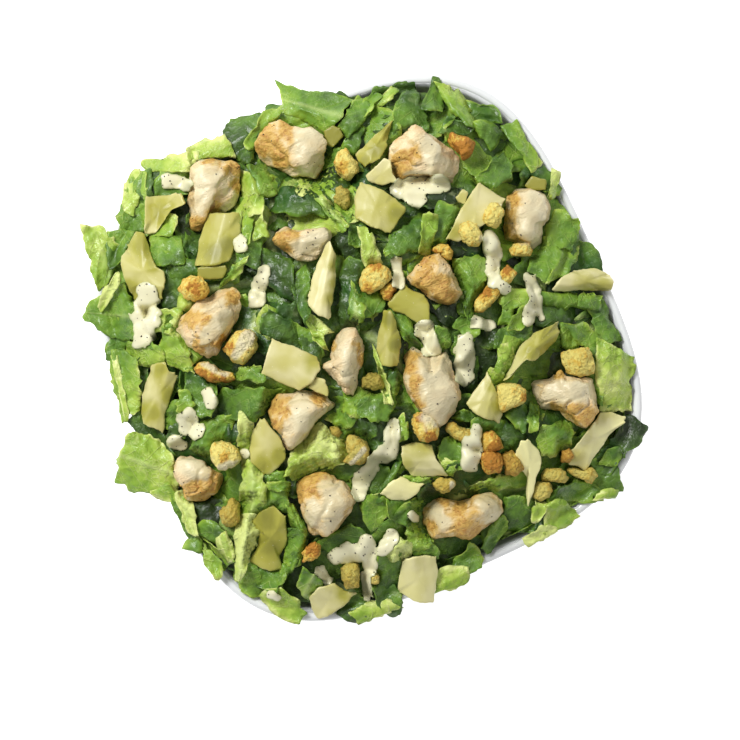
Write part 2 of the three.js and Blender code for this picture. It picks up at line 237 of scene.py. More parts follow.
class Socket:
    """An output of a node, on which arithmetic adds Math nodes."""

    def __init__(self, paint: "Paint", output: bpy.types.NodeSocket) -> None:
        self.paint, self.output = paint, output

    def _math(self, operation: str, a: Input, b: Input = 0.0, clamp: bool = False) -> "Socket":
        """A Math node of an operation on two values."""
        return self.paint.node("Math", {"operation": operation, "use_clamp": clamp}, {0: a, 1: b})

    def __add__(self, other: Input) -> "Socket":
        """The sum."""
        return self._math("ADD", self, other)

    def __sub__(self, other: Input) -> "Socket":
        """The difference."""
        return self._math("SUBTRACT", self, other)

    def __rsub__(self, other: Input) -> "Socket":
        """The difference from a number."""
        return self._math("SUBTRACT", other, self)

    def __mul__(self, other: Input) -> "Socket":
        """The product."""
        return self._math("MULTIPLY", self, other)

    __radd__ = __add__
    __rmul__ = __mul__

    def clamped(self) -> "Socket":
        """This value kept from 0 to 1."""
        return self._math("ADD", self, 0.0, clamp=True)

    def wave(self) -> "Socket":
        """The sine."""
        return self._math("SINE", self)

    def size(self) -> "Socket":
        """The value without its sign."""
        return self._math("ABSOLUTE", self)

    def band(self, low: float, high: float) -> "Socket":
        """0 below low, 1 above high and a smooth slope between."""
        settings = {"interpolation_type": "SMOOTHSTEP"}
        return self.paint.node("MapRange", settings, {0: self, 1: low, 2: high})


class Paint:
    """A material under construction, on one Principled shader."""

    def __init__(self, name: str) -> None:
        self.material = bpy.data.materials.new(name)
        self.material.use_nodes = True
        self.tree = self.material.node_tree
        self.shader = self.tree.nodes["Principled BSDF"]

    def node(self, kind: str, settings: Optional[dict] = None, inputs: Optional[dict] = None,
             output: Union[int, str] = 0) -> Socket:
        """Adds a node.

        Args:
            kind: its type, without the word ShaderNode.
            settings: its properties, or a ramp's stops under the name stops.
            inputs: values or sockets by the input's number or name.
            output: which output to give back.

        Returns:
            That output.
        """
        node = self.tree.nodes.new("ShaderNode" + kind)
        for name, value in (settings or {}).items():
            if name == "stops":
                self._stops(node.color_ramp, value)
            else:
                setattr(node, name, value)
        for name, value in (inputs or {}).items():
            self.feed(node.inputs[name], value)
        return Socket(self, node.outputs[output])

    @staticmethod
    def _stops(ramp: bpy.types.ColorRamp, stops: Sequence[tuple[float, Colour]]) -> None:
        """Sets a colour ramp's stops."""
        while len(ramp.elements) < len(stops):
            ramp.elements.new(1.0)
        for element, (place, colour) in zip(ramp.elements, stops):
            element.position, element.color = place, (*colour, 1.0)

    def feed(self, target: bpy.types.NodeSocket, value: Input) -> None:
        """Links a socket or sets a value on an input."""
        if isinstance(value, Socket):
            self.tree.links.new(value.output, target)
        elif isinstance(value, tuple) and target.type == "RGBA":
            target.default_value = (*value, 1.0)
        else:
            target.default_value = value

    def place(self) -> Socket:
        """Object coordinates."""
        return self.node("TexCoord", output="Object")

    def mark(self, name: str) -> Socket:
        """A value that the mesh carries under a name."""
        return self.node("Attribute", {"attribute_name": name}, output="Fac")

    def noise(self, size: float, detail: float = 2.0, distortion: float = 0.0,
              at: Optional[Socket] = None) -> Socket:
        """Noise from 0 to 1 with lumps of a size in metres."""
        where = at or self.place()
        return self.node("TexNoise", {}, {"Vector": where, "Scale": 1 / size, "Detail": detail,
                                          "Distortion": distortion})

    def cells(self, size: float, feature: str = "F1", at: Optional[Socket] = None) -> Socket:
        """The distance to cells of a size in metres."""
        where = at or self.place()
        return self.node("TexVoronoi", {"feature": feature}, {"Vector": where, "Scale": 1 / size})

    def mix(self, factor: Input, a: Input, b: Input) -> Socket:
        """A mix of two colours."""
        node = self.tree.nodes.new("ShaderNodeMix")
        node.data_type = "RGBA"
        for number, value in ((0, factor), (6, a), (7, b)):
            self.feed(node.inputs[number], value)
        return Socket(self, node.outputs[2])

    def ramp(self, value: Input, stops: Sequence[tuple[float, Colour]]) -> Socket:
        """A colour picked from stops by a value."""
        return self.node("ValToRGB", {"stops": stops}, {0: value})

    def bump(self, height: Socket, strength: float, distance: float) -> Socket:
        """A Bump node over a height."""
        return self.node("Bump", {}, {"Height": height, "Strength": strength, "Distance": distance})

    def finish(self, **inputs: Input) -> Material:
        """Sets the shader's inputs, given by name with _ for a space, and gives the material."""
        for name, value in inputs.items():
            self.feed(self.shader.inputs[name.replace("_", " ")], value)
        return self.material


@dataclass(frozen=True)
class Porcelain:
    """White glazed porcelain, with a matt ring under the foot and painted shade that greys the wall towards
    the foot.
    """

    white: Colour = (0.83, 0.845, 0.845)
    # The grey of the painted shade on the lower wall
    painted_foot_shade: Colour = (0.66, 0.675, 0.685)
    bare: Colour = (0.74, 0.72, 0.68)
    foot_height: float = 1.2 * MM
    cloud_size: float = 26 * MM
    ripple_size: float = 14 * MM
    shaded: Span = (18 * MM, 54 * MM)

    def material(self) -> Material:
        """Builds the material."""
        paint = Paint("white_porcelain")
        height = paint.node("SeparateXYZ", {}, {0: paint.place()}, output="Z")
        foot = 1 - height.band(self.foot_height * 0.6, self.foot_height)
        cloud = paint.noise(self.cloud_size, 3.0)
        glaze = paint.mix(cloud.band(0.3, 0.8), self.white, tuple(c * 0.975 for c in self.white))
        # Painted shade: the wall is mixed towards grey below the rim, more so towards the foot
        wall = paint.mix((1 - height.band(*self.shaded)) * 0.8, glaze, self.painted_foot_shade)
        specks = (1 - paint.cells(7 * MM).band(0.02, 0.035)) * 0.10
        colour = paint.mix(specks, paint.mix(foot, wall, self.bare), (0.62, 0.6, 0.55))
        uneven = paint.noise(self.ripple_size, 2.0) + paint.noise(1.6 * MM, 1.0) * 0.05
        ripple = paint.bump(uneven, 0.12, 0.4 * MM)
        roughness = 0.07 + cloud * 0.06 + foot * 0.5
        return paint.finish(Base_Color=colour, Roughness=roughness, Normal=ripple,
                            Coat_Weight=0.5 - foot * 0.5, Coat_Roughness=0.05, Specular_IOR_Level=0.55)


@dataclass(frozen=True)
class Romaine:
    """Dressed romaine leaves, from deep green to pale yellow-green, by the mesh's marks, with a painted
    highlight on their margins.
    """

    tones: tuple = (
        (0.0, (0.020, 0.040, 0.008)),
        (0.22, (0.056, 0.118, 0.016)),
        (0.45, (0.137, 0.274, 0.026)),
        (0.68, (0.268, 0.430, 0.041)),
        (0.86, (0.430, 0.565, 0.085)),
        (1.0, (0.665, 0.740, 0.235)),
    )
    deep: Colour = (0.030, 0.112, 0.014)
    rib: Colour = (0.57, 0.68, 0.23)
    milky: Colour = (0.50, 0.56, 0.27)
    blister_size: float = 3.0 * MM
    pimple_size: float = 1.3 * MM
    net_size: float = 2.4 * MM
    smear_size: float = 9 * MM

    def material(self) -> Material:
        """Builds the material."""
        paint = Paint("romaine")
        tone, edge, rib = paint.mark("tone"), paint.mark("margin"), paint.mark("rib")
        uv = paint.node("UVMap", {"uv_map": "UVMap"})
        across, along = (paint.node("SeparateXYZ", {}, {0: uv}, output=o) for o in ("X", "Y"))
        wander = (paint.noise(9 * MM, 2.0) - 0.5) * 5.0
        streak = ((along + across.size() * 0.9) * 1.7 + wander * 0.35).wave().size()
        side_vein = (1 - streak.band(0.02, 0.14)) * paint.noise(11 * MM, 1.0).band(0.35, 0.6)
        warped = self._warped(paint)
        net = 1 - paint.cells(self.net_size, "DISTANCE_TO_EDGE", at=warped).band(0.0, 0.11)
        net = net * paint.noise(8 * MM, 1.0).band(0.40, 0.60)
        mottle = paint.noise(5 * MM, 5.0) - 0.5
        shade = tone + mottle * 0.50 + (paint.noise(22 * MM, 1.0) - 0.5) * 0.25
        # Painted highlight: the margin mark, edge here, pales each leaf's edge
        green = paint.ramp((shade + side_vein * 0.10 + net * 0.07 + edge * 0.30).clamped(), self.tones)
        cool = paint.noise(17 * MM, 2.0).band(0.50, 0.66) * (0.75 - shade.clamped())
        green = paint.mix(cool.clamped(), green, self.deep)
        lines = side_vein * 0.30 + net * (0.12 + shade.band(0.5, 0.85) * 0.30)
        veined = paint.mix(lines.clamped() * shade.band(0.15, 0.6), green, self.rib)
        smear = paint.noise(self.smear_size, 3.0, 0.8).band(0.60, 0.78) * 0.30
        colour = paint.mix(rib.clamped(), paint.mix(smear, veined, self.milky), self.rib)
        blister = paint.cells(self.blister_size, "SMOOTH_F1", at=warped) * -1.0
        pimple = paint.cells(self.pimple_size, "SMOOTH_F1", at=warped) * 0.35
        height = blister - pimple + paint.noise(0.8 * MM, 2.0) * 0.30
        height = height + side_vein * 0.5 + net * 0.25 + rib * 0.6
        bump = paint.bump(height, 0.62, 1.1 * MM)
        roughness = 0.26 + paint.noise(3 * MM, 2.0) * 0.30
        return paint.finish(Base_Color=colour, Roughness=roughness, Normal=bump, Coat_Weight=0.16,
                            Coat_Roughness=0.13, Specular_IOR_Level=0.38)

    @staticmethod
    def _warped(paint: Paint) -> Socket:
        """Object coordinates that wander a little, so that cells aren't regular."""
        push = paint.node("TexNoise", {}, {"Vector": paint.place(), "Scale": 1 / (6 * MM)}, output="Color")
        shift = paint.node("VectorMath", {"operation": "SCALE"}, {0: push, "Scale": 3.2 * MM})
        return paint.node("VectorMath", {"operation": "ADD"}, {0: paint.place(), 1: shift})


@dataclass(frozen=True)
class RoastChicken:
    """Pale breast meat, browned where the mesh says so; on a few chunks that browning is painted shade."""

    pale: Colour = (0.80, 0.665, 0.40)
    blush: Colour = (0.77, 0.56, 0.30)
    gold: Colour = (0.66, 0.415, 0.095)
    brown: Colour = (0.42, 0.18, 0.030)
    cream: Colour = (0.71, 0.64, 0.41)
    patch_size: float = 4.5 * MM
    fibre_size: float = 2.4 * MM

    def material(self) -> Material:
        """Builds the material."""
        paint = Paint("roast_chicken")
        roast = paint.mark("roast")
        patch = paint.noise(self.patch_size, 5.0)
        fine = paint.noise(0.9 * MM, 3.0)
        meat = paint.mix(paint.noise(10 * MM, 2.0).band(0.4, 0.7), self.pale, self.blush)
        amount = (roast + (patch - 0.5) * 1.5 + (fine - 0.5) * 0.4).clamped()
        gold = paint.mix(amount.band(0.05, 0.95), meat, self.gold)
        browned = (amount + (fine - 0.5) * 0.9 + (paint.noise(2.2 * MM, 3.0) - 0.5) * 1.2).band(0.80, 1.30)
        cream = paint.mark("cream").clamped()
        bare = paint.mix(browned * 0.8, gold, self.brown)
        colour = paint.mix(cream * (0.52 + paint.noise(4 * MM, 2.0) * 0.40), bare, self.cream)
        fibre_at = paint.node("Mapping", {}, {"Vector": paint.place(), "Scale": (1.0, 3.2, 2.0)})
        fibre = paint.noise(self.fibre_size, 3.0, at=fibre_at)
        bump = paint.bump((fibre + fine * 0.5) * (1 - cream * 0.55), 0.8, 1.0 * MM)
        roughness = 0.42 + fine * 0.25 - cream * 0.20
        return paint.finish(Base_Color=colour, Roughness=roughness, Normal=bump, Coat_Weight=0.12,
                            Coat_Roughness=0.25)


@dataclass(frozen=True)
class ToastedBread:
    """Crisp golden bread with pores, browner on its edges, flecks of herbs, and an olive tint that is partly
    herbs and partly painted shade.
    """

    light: Colour = (0.77, 0.655, 0.175)
    gold: Colour = (0.68, 0.43, 0.060)
    brown: Colour = (0.43, 0.17, 0.014)
    olive: Colour = (0.37, 0.31, 0.048)
    herb: Colour = (0.14, 0.16, 0.03)
    cream: Colour = (0.72, 0.66, 0.45)
    blot_size: float = 3.6 * MM
    pore_size: float = 1.3 * MM

    def material(self) -> Material:
        """Builds the material."""
        paint = Paint("toasted_bread")
        toast = paint.mark("toast")
        blot = paint.noise(self.blot_size, 4.0)
        fine = paint.noise(0.7 * MM, 3.0)
        warm = (toast + (blot - 0.5) * 1.2 + (fine - 0.5) * 0.45).clamped()
        base = paint.mix(warm.band(0.12, 0.68), self.light, self.gold)
        toasted = paint.mix(warm.band(0.72, 1.05), base, self.brown)
        # Painted shade in part: the olive mark tints crumbs that lie in shade, as well as herb-seasoned ones
        crust = paint.mix((paint.mark("olive") * (0.6 + fine * 0.6)).clamped(), toasted, self.olive)
        fleck = (1 - paint.cells(1.5 * MM).band(0.13, 0.2)) * paint.noise(2.5 * MM).band(0.52, 0.6)
        bare = paint.mix(fleck * 0.8, crust, self.herb)
        colour = paint.mix(paint.mark("cream") * (0.55 + blot * 0.5), bare, self.cream)
        pores = paint.cells(self.pore_size, "SMOOTH_F1")
        bump = paint.bump(pores + fine * 0.7, 0.9, 1.0 * MM)
        return paint.finish(Base_Color=colour, Roughness=0.62 + fine * 0.25, Normal=bump)


@dataclass(frozen=True)
class HardCheese:
    """Smooth pale yellow cheese, with painted shade that makes it olive and then darker, partly where it is
    thin, and painted light that whitens it.
    """

    # olive and dark are colours of painted shade, olive partly for thinness too, and white is painted light
    light: Colour = (0.61, 0.558, 0.185)
    cream: Colour = (0.73, 0.675, 0.345)
    olive: Colour = (0.40, 0.378, 0.056)
    white: Colour = (0.90, 0.855, 0.41)
    dark: Colour = (0.19, 0.185, 0.024)
    crumb: Colour = (0.93, 0.90, 0.74)
    cloud_size: float = 12 * MM

    def material(self) -> Material:
        """Builds the material."""
        paint = Paint("hard_cheese")
        shade = paint.mark("shade")
        cloud = paint.noise(self.cloud_size, 2.0)
        grain = paint.noise(0.8 * MM, 2.0)
        pale = paint.mix(cloud.band(0.35, 0.7), self.cream, self.light)
        # Painted light: a shade mark below 0 whitens a shaving
        cheese_painted_light = paint.mix((shade * -1.0).clamped(), pale, self.white)
        # Painted shade: olive as the shade mark rises, partly for thinness
        thin = paint.mix((shade + (cloud - 0.5) * 0.5).clamped(), cheese_painted_light, self.olive)
        # Painted shade: darker still where the mark is above 1
        colour = paint.mix((shade - 1.0).clamped(), thin, self.dark)
        crumb = paint.mix((1 - paint.cells(2.6 * MM).band(0.05, 0.12)) * 0.25, colour, self.crumb)
        bump = paint.bump(cloud * 0.6 + grain * 0.25, 0.35, 0.6 * MM)
        return paint.finish(Base_Color=crumb, Roughness=0.36 + grain * 0.15, Normal=bump, Coat_Weight=0.1,
                            Coat_Roughness=0.3)


@dataclass(frozen=True)
class CreamDressing:
    """Thick cream dressing with fine specks of herbs."""

    cream: Colour = (0.80, 0.765, 0.51)
    thin: Colour = (0.56, 0.57, 0.31)
    speck: Colour = (0.22, 0.20, 0.10)

    def material(self) -> Material:
        """Builds the material."""
        paint = Paint("cream_dressing")
        thickness = paint.mark("thickness")
        cloud = paint.noise(6 * MM, 2.0)
        body = paint.mix((thickness + (cloud - 0.5) * 0.5).clamped(), self.thin, self.cream)
        specks = (1 - paint.cells(1.7 * MM).band(0.09, 0.14)) * paint.noise(3 * MM).band(0.5, 0.56)
        colour = paint.mix(specks * 0.55, body, self.speck)
        bump = paint.bump(cloud + paint.noise(1.2 * MM, 1.0) * 0.15, 0.3, 0.7 * MM)
        return paint.finish(Base_Color=colour, Roughness=0.28 + cloud * 0.12, Normal=bump, Coat_Weight=0.15,
                            Coat_Roughness=0.12)


@dataclass(frozen=True)
class GroundPepper:
    """Cracked black pepper."""

    dark: Colour = (0.018, 0.013, 0.009)
    brown: Colour = (0.10, 0.055, 0.03)

    def material(self) -> Material:
        """Builds the material."""
        paint = Paint("ground_pepper")
        grain = paint.noise(0.4 * MM, 2.0)
        colour = paint.mix(grain.band(0.45, 0.7), self.dark, self.brown)
        return paint.finish(Base_Color=colour, Roughness=0.55 + grain * 0.2,
                            Normal=paint.bump(grain, 0.6, 0.2 * MM))


@dataclass(frozen=True)
class ShadePaintedLeaf:
    """The leaves deep in the heap, seen only through gaps, painted near black as painted shade and paler
    beside the wall as painted light.
    """

    deep: Colour = (0.016, 0.034, 0.009)
    green: Colour = (0.060, 0.115, 0.022)
    pale: Colour = (0.42, 0.52, 0.20)

    def material(self) -> Material:
        """Builds the material."""
        paint = Paint("shade_painted_leaf")
        cloud = paint.noise(8 * MM, 4.0, 1.2)
        # Painted shade: near-black greens stand for the shade deep in the heap
        dark = paint.mix(cloud.band(0.4, 0.7), self.deep, self.green)
        # Painted light: the mark read here makes the core paler beside the wall
        colour = paint.mix(paint.mark("painted_light") * (0.6 + cloud * 0.5), dark, self.pale)
        bump = paint.bump(cloud + paint.cells(4 * MM) * 0.6, 0.8, 2 * MM)
        return paint.finish(Base_Color=colour, Roughness=0.45 + cloud * 0.2, Normal=bump)


# Pieces

class Slot(Enum):
    """The record's material slots."""

    BOWL = "white_porcelain"
    LETTUCE = "lettuce"
    CHICKEN = "roast_chicken"
    BREAD = "toasted_bread"
    CHEESE = "hard_cheese"
    DRESSING = "cream_dressing"
    PEPPER = "ground_pepper"


def only(piece: Piece) -> None:
    """Selects one piece alone and makes it active."""
    bpy.ops.object.select_all(action="DESELECT")
    piece.select_set(True)
    bpy.context.view_layer.objects.active = piece


def modify(piece: Piece, kind: str, **settings: object) -> None:
    """Adds a modifier with its settings and applies it."""
    only(piece)
    modifier = piece.modifiers.new(kind.title(), kind)
    for name, value in settings.items():
        setattr(modifier, name, value)
    bpy.ops.object.modifier_apply(modifier=modifier.name)


def smooth(piece: Piece, rounds: int) -> None:
    """Evens a piece's surface out, a little in each round."""
    modify(piece, "SMOOTH", factor=0.5, iterations=rounds)


def points_of(piece: Piece) -> Array:
    """The places of a piece's points, one a row."""
    flat = np.empty(len(piece.data.vertices) * 3)
    piece.data.vertices.foreach_get("co", flat)
    return flat.reshape(-1, 3)


def move_points(piece: Piece, points: Array) -> None:
    """Puts a piece's points at new places."""
    piece.data.vertices.foreach_set("co", points.ravel())
    piece.data.update()


def normals_of(piece: Piece) -> Array:
    """The outward direction at each point."""
    flat = np.empty(len(piece.data.vertices) * 3, np.float32)
    piece.data.vertex_normals.foreach_get("vector", flat)
    return flat.reshape(-1, 3).astype(float)


def write_mark(piece: Piece, name: str, values: Array) -> None:
    """Stores a value at each point under a name that a material reads."""
    mark = piece.data.attributes.new(name, "FLOAT", "POINT")
    mark.data.foreach_set("value", np.asarray(values, np.float32))


def dress(piece: Piece, material: Material, slot: Slot,
          nodes: Iterable[str] = ()) -> Piece:
    """Gives a piece its material and its place in the model.

    Args:
        piece: the finished piece.
        material: what it is made of.
        slot: the record's slot of that; not used.
        nodes: the solids that it stands for.

    Returns:
        The piece.
    """
    piece.data.materials.clear()
    piece.data.materials.append(material)
    piece.data.shade_smooth()
    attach(piece, "root")
    if nodes:
        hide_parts(*nodes)
    LOG.info("%s: %d faces", piece.name, len(piece.data.polygons))
    return piece


def placed(name: str, data: bpy.types.ID) -> Piece:
    """A new object in the scene, made of a mesh, a light or a camera."""
    made = bpy.data.objects.new(name, data)
    bpy.context.scene.collection.objects.link(made)
    return made


def mesh_piece(name: str, points: Array, faces: Sequence) -> Piece:
    """A piece from arrays of points and faces."""
    mesh = bpy.data.meshes.new(name)
    mesh.from_pydata([tuple(p) for p in points], [], [tuple(f) for f in faces])
    mesh.update()
    return placed(name, mesh)


def grid_faces(rows: int, columns: int, start: int = 0) -> Array:
    """The four-cornered faces of a grid of points stored row by row, from a first point."""
    corner = (np.arange(rows - 1)[:, None] * columns + np.arange(columns - 1)[None, :]).ravel() + start
    return np.stack([corner, corner + 1, corner + columns + 1, corner + columns], axis=1)


def tree_of(pieces: Iterable[Piece]) -> BVHTree:
    """One search tree over several pieces, for finding surfaces."""
    points: list = []
    faces: list = []
    for piece in pieces:
        start = len(points)
        points.extend(v.co for v in piece.data.vertices)
        faces.extend([i + start for i in p.vertices] for p in piece.data.polygons)
    return BVHTree.FromPolygons(points, faces)


def turned(name: str, profile: Array, segments: int) -> Piece:
    """A closed shell, turned about the upright axis and pushed out to a rounded square.

    Args:
        name: the piece's name.
        profile: half width and height, one a row, from the underside over the outside to the top's middle.
        segments: how many corners go round it.

    Returns:
        The piece, not yet dressed.
    """
    bpy.ops.object.select_all(action="DESELECT")
    bpy.ops.mesh.primitive_circle_add(vertices=segments, radius=profile[0][0], fill_type="NGON",
                                      location=(0, 0, profile[0][1]))
    piece = bpy.context.object
    piece.name = piece.data.name = name
    bpy.ops.object.mode_set(mode="EDIT")
    bpy.ops.mesh.select_all(action="SELECT")
    for (half, height), (next_half, next_height) in zip(profile, profile[1:]):
        bpy.ops.mesh.extrude_region_move(TRANSFORM_OT_translate={"value": (0, 0, next_height - height)})
        share = next_half / half
        bpy.ops.transform.resize(value=(share, share, 1), center_override=(0, 0, 0))
    for _ in range(2):
        bpy.ops.mesh.inset(thickness=profile[-1][0] * 0.3)
    bpy.ops.object.mode_set(mode="OBJECT")
    bpy.ops.object.transform_apply(location=True, rotation=True, scale=True)
    edit = bmesh.new()
    edit.from_mesh(piece.data)
    open_edges = [e for e in edit.edges if e.is_boundary]
    if open_edges:
        bmesh.ops.contextual_create(edit, geom=open_edges)
    bmesh.ops.recalc_face_normals(edit, faces=edit.faces)
    edit.to_mesh(piece.data)
    edit.free()
    points = points_of(piece)
    radius, angle = np.hypot(points[:, 0], points[:, 1]), np.arctan2(points[:, 1], points[:, 0])
    reach = square_radius(radius, angle)
    points[:, 0], points[:, 1] = reach * np.cos(angle), reach * np.sin(angle)
    move_points(piece, points)
    return piece


@dataclass
class Bowl:
    """The rounded-square bowl, as a turned shell pushed out to its corners."""

    segments: int = 128
    foot_half: float = 54 * MM
    foot_height: float = 3 * MM
    recess: float = 1.6 * MM
    foot_ring: float = 5 * MM
    foot_edge: float = 0.8 * MM
    flare: float = 1.56
    belly: Span = (0.47, 0.42)
    floor: float = 6 * MM
    wall_steps: int = 16
    lip_steps: int = 7
    finish: Porcelain = Porcelain()

    def wall_line(self, inwards: float) -> Array:
        """The wall's side from foot to rim, as half width and height, moved inwards along its normal."""
        ends = np.array([[self.foot_half, self.foot_height], [self.foot_half * self.flare, self.foot_height],
                         [BOWL_WIDTH * self.belly[0], BOWL_HEIGHT * self.belly[1]],
                         [BOWL_WIDTH / 2, BOWL_HEIGHT - WALL / 2]])
        t = np.linspace(0, 1, self.wall_steps + 1)[:, None]
        back = 1 - t
        line = ends[0] * back**3 + 3 * ends[1] * t * back**2 + 3 * ends[2] * t**2 * back + ends[3] * t**3
        way = (ends[1] - ends[0]) * back**2 + 2 * (ends[2] - ends[1]) * t * back + (ends[3] - ends[2]) * t**2
        way /= np.linalg.norm(way, axis=1)[:, None]
        return line + inwards * np.stack([-way[:, 1], way[:, 0]], axis=1)

    def profile(self) -> Array:
        """Half width and height from the foot's recess over the rim to the floor."""
        foot = [(self.foot_half - self.foot_ring, self.recess), (self.foot_half - self.foot_ring + MM, 0.0),
                (self.foot_half - MM, 0.0), (self.foot_half, self.foot_edge)]
        rim = BOWL_WIDTH / 2 - WALL / 2
        turns = np.linspace(0.15, math.pi - 0.15, self.lip_steps)
        lip = [(rim + WALL / 2 * math.cos(a), BOWL_HEIGHT - WALL / 2 + WALL / 2 * math.sin(a)) for a in turns]
        return np.array([*foot, *self.wall_line(0), *lip, *self.wall_line(WALL)[::-1]])

    def build(self) -> Piece:
        """Models the bowl and gives the piece."""
        piece = turned("glazed_bowl", self.profile(), self.segments)
        return dress(piece, self.finish.material(), Slot.BOWL, ["bowl"])


class Cover:
    """How low the toppings come over each place of the heap, so that leaves dip under them.

    rings is how many cells out from a topping its slope reaches.
    """

    rings = 6

    def __init__(self, toppings: Iterable[Piece], cell: float = 1.5 * MM, slope: float = 1.6) -> None:
        self.cell, self.reach = cell, BOWL_WIDTH * 0.6
        count = int(2 * self.reach / cell) + 1
        tree = tree_of(toppings)
        self.low = np.full((count, count), 1.0)
        for i in range(count):
            for j in range(count):
                place = Vector((i * cell - self.reach, j * cell - self.reach, BOWL_HEIGHT - 20 * MM))
                hit = tree.ray_cast(place, Vector((0, 0, 1)))[0]
                if hit is not None:
                    self.low[i, j] = hit.z
        for _ in range(self.rings):
            for axis in (0, 1):
                for way in (-1, 1):
                    self.low = np.minimum(self.low, np.roll(self.low, way, axis) + slope * cell)

    def __call__(self, x: Array, y: Array) -> Array:
        """The greatest height that a leaf may have over each place."""
        last = len(self.low) - 1
        i = np.clip(np.rint((x + self.reach) / self.cell).astype(int), 0, last)
        j = np.clip(np.rint((y + self.reach) / self.cell).astype(int), 0, last)
        return self.low[i, j]


@dataclass(frozen=True)
class Leaf:
    """A torn piece of leaf, between four corners in the photograph.

    The corners run from the left of the end nearest the stem to its right, then the tip's right and left.
    Heights are in millimetres: lift of the whole, rise of the tip, lean of the right side, fold along the
    middle and frill of the margins. tone goes from 0, deep green, to 1, pale; rib is how strong the pale
    rib is, and bow is how far the sides swell, as a share of the width.
    """

    corners: tuple[Pixel, Pixel, Pixel, Pixel]
    tone: float
    lift: float = 0.0
    rise: float = 0.0
    lean: float = 0.0
    fold: float = 0.0
    frill: float = 0.8
    rib: float = 0.0
    bow: float = 0.05


def pixels(*numbers: float) -> tuple[Pixel, ...]:
    """Pixels from their coordinates one after another."""
    return tuple(zip(numbers[::2], numbers[1::2]))


